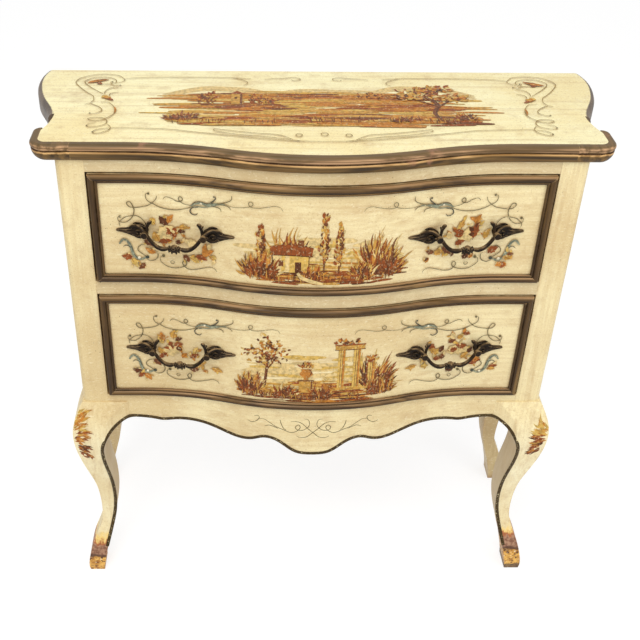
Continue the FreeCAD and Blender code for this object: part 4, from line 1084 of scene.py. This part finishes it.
# Plate details: distance outward from the post, height above the face, up, radius
PLATE_RIBS = [
    [(27, 4, -4, 1.2), (25, 5.5, 2, 1.8), (20, 7.5, 7, 2.2), (13, 9.5, 9.3, 2.4), (6, 12.5, 7.2, 2.6),
     (1, 15.5, 3, 2.7), (-2.5, 17, -1.5, 2.2)],
    [(23, 2, 6.5, 0.8), (19, 2.8, 9.8, 1.3), (13, 3.2, 11.4, 1.6), (7, 3.6, 10.2, 1.4), (2.5, 4.5, 7.5, 0.9)],
    [(20, 6, -6, 1.2), (14, 7, -9.8, 1.7), (7.5, 7.5, -7.5, 1.7), (6, 8.2, -2.5, 1.6), (10, 8.8, 1.5, 1.6),
     (14, 8.4, 0, 1.5), (14, 8.6, -3.5, 1.5), (11.5, 9, -4, 2.0)],
    [(22, 5, 4, 1.6), (29, 4.2, 2.2, 1.5), (36, 3, 2.0, 1.2), (42, 1.8, 2.6, 0.8)],
    [(24, 5, -2, 1.9), (32, 4.2, -1.4, 1.6), (39, 2.8, -0.8, 1.3), (46, 1.2, -0.4, 0.8)],
    [(19, 5, -8.8, 1.9), (27, 4.2, -6.6, 1.6), (34, 3, -5, 1.2), (41, 1.6, -4, 0.7)],
    [(1, 4, -8.3, 1.7), (8, 4.5, -12.2, 1.7), (15, 4, -12.2, 1.4), (20, 2.6, -10.8, 0.8)],
    [(-1.5, 14, 1, 2.4), (-2.5, 13, 6, 2.1), (-3.5, 12, 11, 2.3), (-5, 11, 15, 2.9), (-7.5, 10, 17.5, 3.0),
     (-10, 9.5, 17.5, 1.8)],
    [(-0.5, 10.5, 16.5, 0.8), (-2, 11, 15.5, 1.8), (-4, 11.5, 12, 1.8)]]
# Bail: half of its line from the pivot's outer end to the middle: along, out, up, radius
BAIL_HALF = [(48, 0, 0, 1.9), (44.5, 0, 0, 2.4), (41, 0.2, -0.6, 2.7), (38, 0.8, -4, 2.8),
             (34.5, 1.5, -9, 2.8), (29.5, 2, -14.5, 2.9), (23.5, 2.4, -18.8, 3.2), (17, 2.6, -20.6, 3.5),
             (12, 2.7, -19.8, 3.2), (8, 2.7, -18.8, 2.4)]
BAIL_OUT, BAIL_DROP, BAIL_MIDDLE_RADIUS, BAIL_END, KNOP_SAG = 2.8, -18.6, 2.8, 48, 0.006
KNOP = [(-10, 1.5), (-8.5, 3.6), (-7, 3.9), (-5.6, 3.0), (-3.8, 4.6), (-1.8, 5.6), (0, 5.9)]
KNOP_TIPS = [(-7, 5.5), (0, 6.8), (7, 5.5), (-8, -6.5), (-3.5, -9), (3.5, -9), (8, -6.5)]


def edge_at(distance):
    """Upper and lower edge of the plate at a distance from the post."""
    for (near, up, down), (far, next_up, next_down) in zip(PLATE_EDGE, PLATE_EDGE[1:]):
        if distance <= far:
            share = (distance - near) / (far - near)
            return up + share * (next_up - up), down + share * (next_down - down)
    return PLATE_EDGE[-1][1:]


def plate_height(distance, up, share):
    """Height of the plate's relief above the drawer face; share is 0 in the middle and 1 at the edge."""
    dome = max(0.0, 1 - abs(share) ** 2.4) ** 0.5
    thick = PLATE_THICKNESS - PLATE_THINNING * max(0, distance - 8)
    strand = STRAND_HEIGHT * math.cos(9 * share + 0.12 * distance) * min(1, max(0, (distance - 10) / 10))
    off = Vector((distance, up)) - VOLUTE_AT
    wind = 0.0
    if off.length < VOLUTE_REACH:
        turn = math.atan2(off.y, off.x)
        fade = 1 - off.length / VOLUTE_REACH
        wind = VOLUTE_HEIGHT * math.cos(VOLUTE_WIND * off.length - turn) * fade
    return dome * (thick + strand + wind)


def add_plate(mould, face_tree, side):
    """Leaf-shaped end plate on the drawer face; side is the direction along the pull."""
    rows = []
    for i in range(PLATE_ROWS):
        distance = PLATE_EDGE[0][0] + i
        upper, lower = edge_at(distance)
        row = []
        for k in range(-PLATE_HALF_COLUMNS, PLATE_HALF_COLUMNS + 1):
            share = k / PLATE_HALF_COLUMNS
            up = (upper + lower) / 2 + share * (upper - lower) / 2
            along = side * (PULL_HALF_SPACING + distance)
            place = face_tree.ray_cast(mould.at((along, PROBE_START, up)), -mould.out)[0]
            if place is None:
                place = mould.at((along, -STANDOFF, up))
            lift = plate_height(distance, up, share) - (RIM_DROP if abs(share) == 1 else 0.0)
            row.append(len(mould.spots))
            mould.spots.append(place + mould.out * lift * MM)
        rows.append(row)
    mould.faces += strip(rows)
    for rib in PLATE_RIBS:
        mould.tube([(side * (PULL_HALF_SPACING + a), n - STANDOFF, v, r) for a, n, v, r in rib], sides=10)


def add_bail(mould):
    other_half = [(-a, n, v, r) for a, n, v, r in reversed(BAIL_HALF)]
    middle = (0, BAIL_OUT, BAIL_DROP, BAIL_MIDDLE_RADIUS)
    mould.tube(BAIL_HALF + [middle] + other_half, sides=14, flutes=3, depth=0.06)
    whole = KNOP + [(-a, r) for a, r in reversed(KNOP[:-1])]
    mould.tube([(a, BAIL_OUT, BAIL_DROP - KNOP_SAG * a * a, r) for a, r in whole],
               sides=24, flutes=6, depth=0.05, step=0.8)
    for along, up in KNOP_TIPS:
        mould.tube([(0.6 * along, 3, BAIL_DROP + 0.25 * up, 2.4),
                    (0.85 * along, 3.6, BAIL_DROP + 0.6 * up, 2.0),
                    (along, 3.4, BAIL_DROP + up, 0.5)], sides=8)
    for end in (-BAIL_END, BAIL_END):
        mould.ball(end, 0, 0, radius=2.4)
    mould.ball(0, 7.6, BAIL_DROP + 2.5, radius=2.2)


def add_pulls(bronze):
    for drawer in ("upper", "lower"):
        face_tree = node_tree(drawer + "_drawer_front")
        plates = Mould(drawer + "_pull_castings")
        for side in ("left", "right"):
            pull = drawer + "_" + side
            joint = joints[pull + "_bail_swing"]
            plates.set_frame(joint)
            for way in (-1, 1):
                add_plate(plates, face_tree, way)
            bail = Mould(pull + "_bail_casting")
            bail.set_frame(joint)
            add_bail(bail)
            bail.show(pull + "_handle", bronze, pull + "_bail")
        plates.show(drawer + "_drawer", bronze, drawer + "_pull_plates")


# Studio
WORLD_GREY, FLOOR_GREY, FLOOR_REACH, FLOOR_GLOW, FLOOR_LIFT = 0.62, 0.93, 6.0, 0.6, 0.14
# Lamps: name, place, aim, size, power, colour
LAMPS = [("key_lamp", (-0.5, -1.6, 2.9), (0, 0, 0.6), 1.6, 40, (1, 0.97, 0.92)),
         ("fill_lamp", (1.9, -1.8, 1.6), (0, 0, 0.5), 1.8, 14, (0.96, 0.98, 1))]


def grey(level):
    return (level, level, level, 1)


def make_studio():
    """World and floor that look white but give softer light, and two lamps."""
    g = Graph("studio", world=True)
    dim, white = [g.node("Background", {"Color": grey(level)}).outputs[0] for level in (WORLD_GREY, 1)]
    bpy.context.scene.world = g.show(g.node("MixShader", {0: g.seen(), 1: dim, 2: white}))
    g = Graph("studio_floor")
    seen = g.seen()
    plain = g.node("BsdfDiffuse", {"Color": grey(FLOOR_GREY)}).outputs[0]
    dark, lift, glow = [g.node("Emission", {"Color": grey(level)}).outputs[0] for level in (0, FLOOR_LIFT, 1)]
    base = g.node("MixShader", {0: g.both(seen, FLOOR_GLOW), 1: plain, 2: glow}).outputs[0]
    extra = g.node("MixShader", {0: seen, 1: dark, 2: lift}).outputs[0]
    finish = g.show(g.node("AddShader", {0: base, 1: extra}))
    corners = [(x * FLOOR_REACH, y * FLOOR_REACH, 0) for x, y in ((-1, -1), (1, -1), (1, 1), (-1, 1))]
    floor = add_object("studio_floor", make_mesh("studio_floor", corners, [(0, 1, 2, 3)], finish))
    for name, place, aim, size, power, colour in LAMPS:
        data = bpy.data.lights.new(name, "AREA")
        data.shape = "DISK"
        data.size = size
        data.energy = power
        data.color = colour
        lamp = add_object(name, data)
        lamp.location = place
        lamp.rotation_mode = "QUATERNION"
        lamp.rotation_quaternion = (Vector(aim) - Vector(place)).to_track_quat("-Z", "Y")


make_camera()
bronze_finish = dress_nodes()
pigment_finishes = {name: make_pigment(name) for name in PIGMENTS}
paint_ornament(pigment_finishes)
add_gilt_bead(pigment_finishes["gilt_line"])
add_pulls(bronze_finish)
make_studio()
view = bpy.context.scene.view_settings
view.view_transform = "Standard"
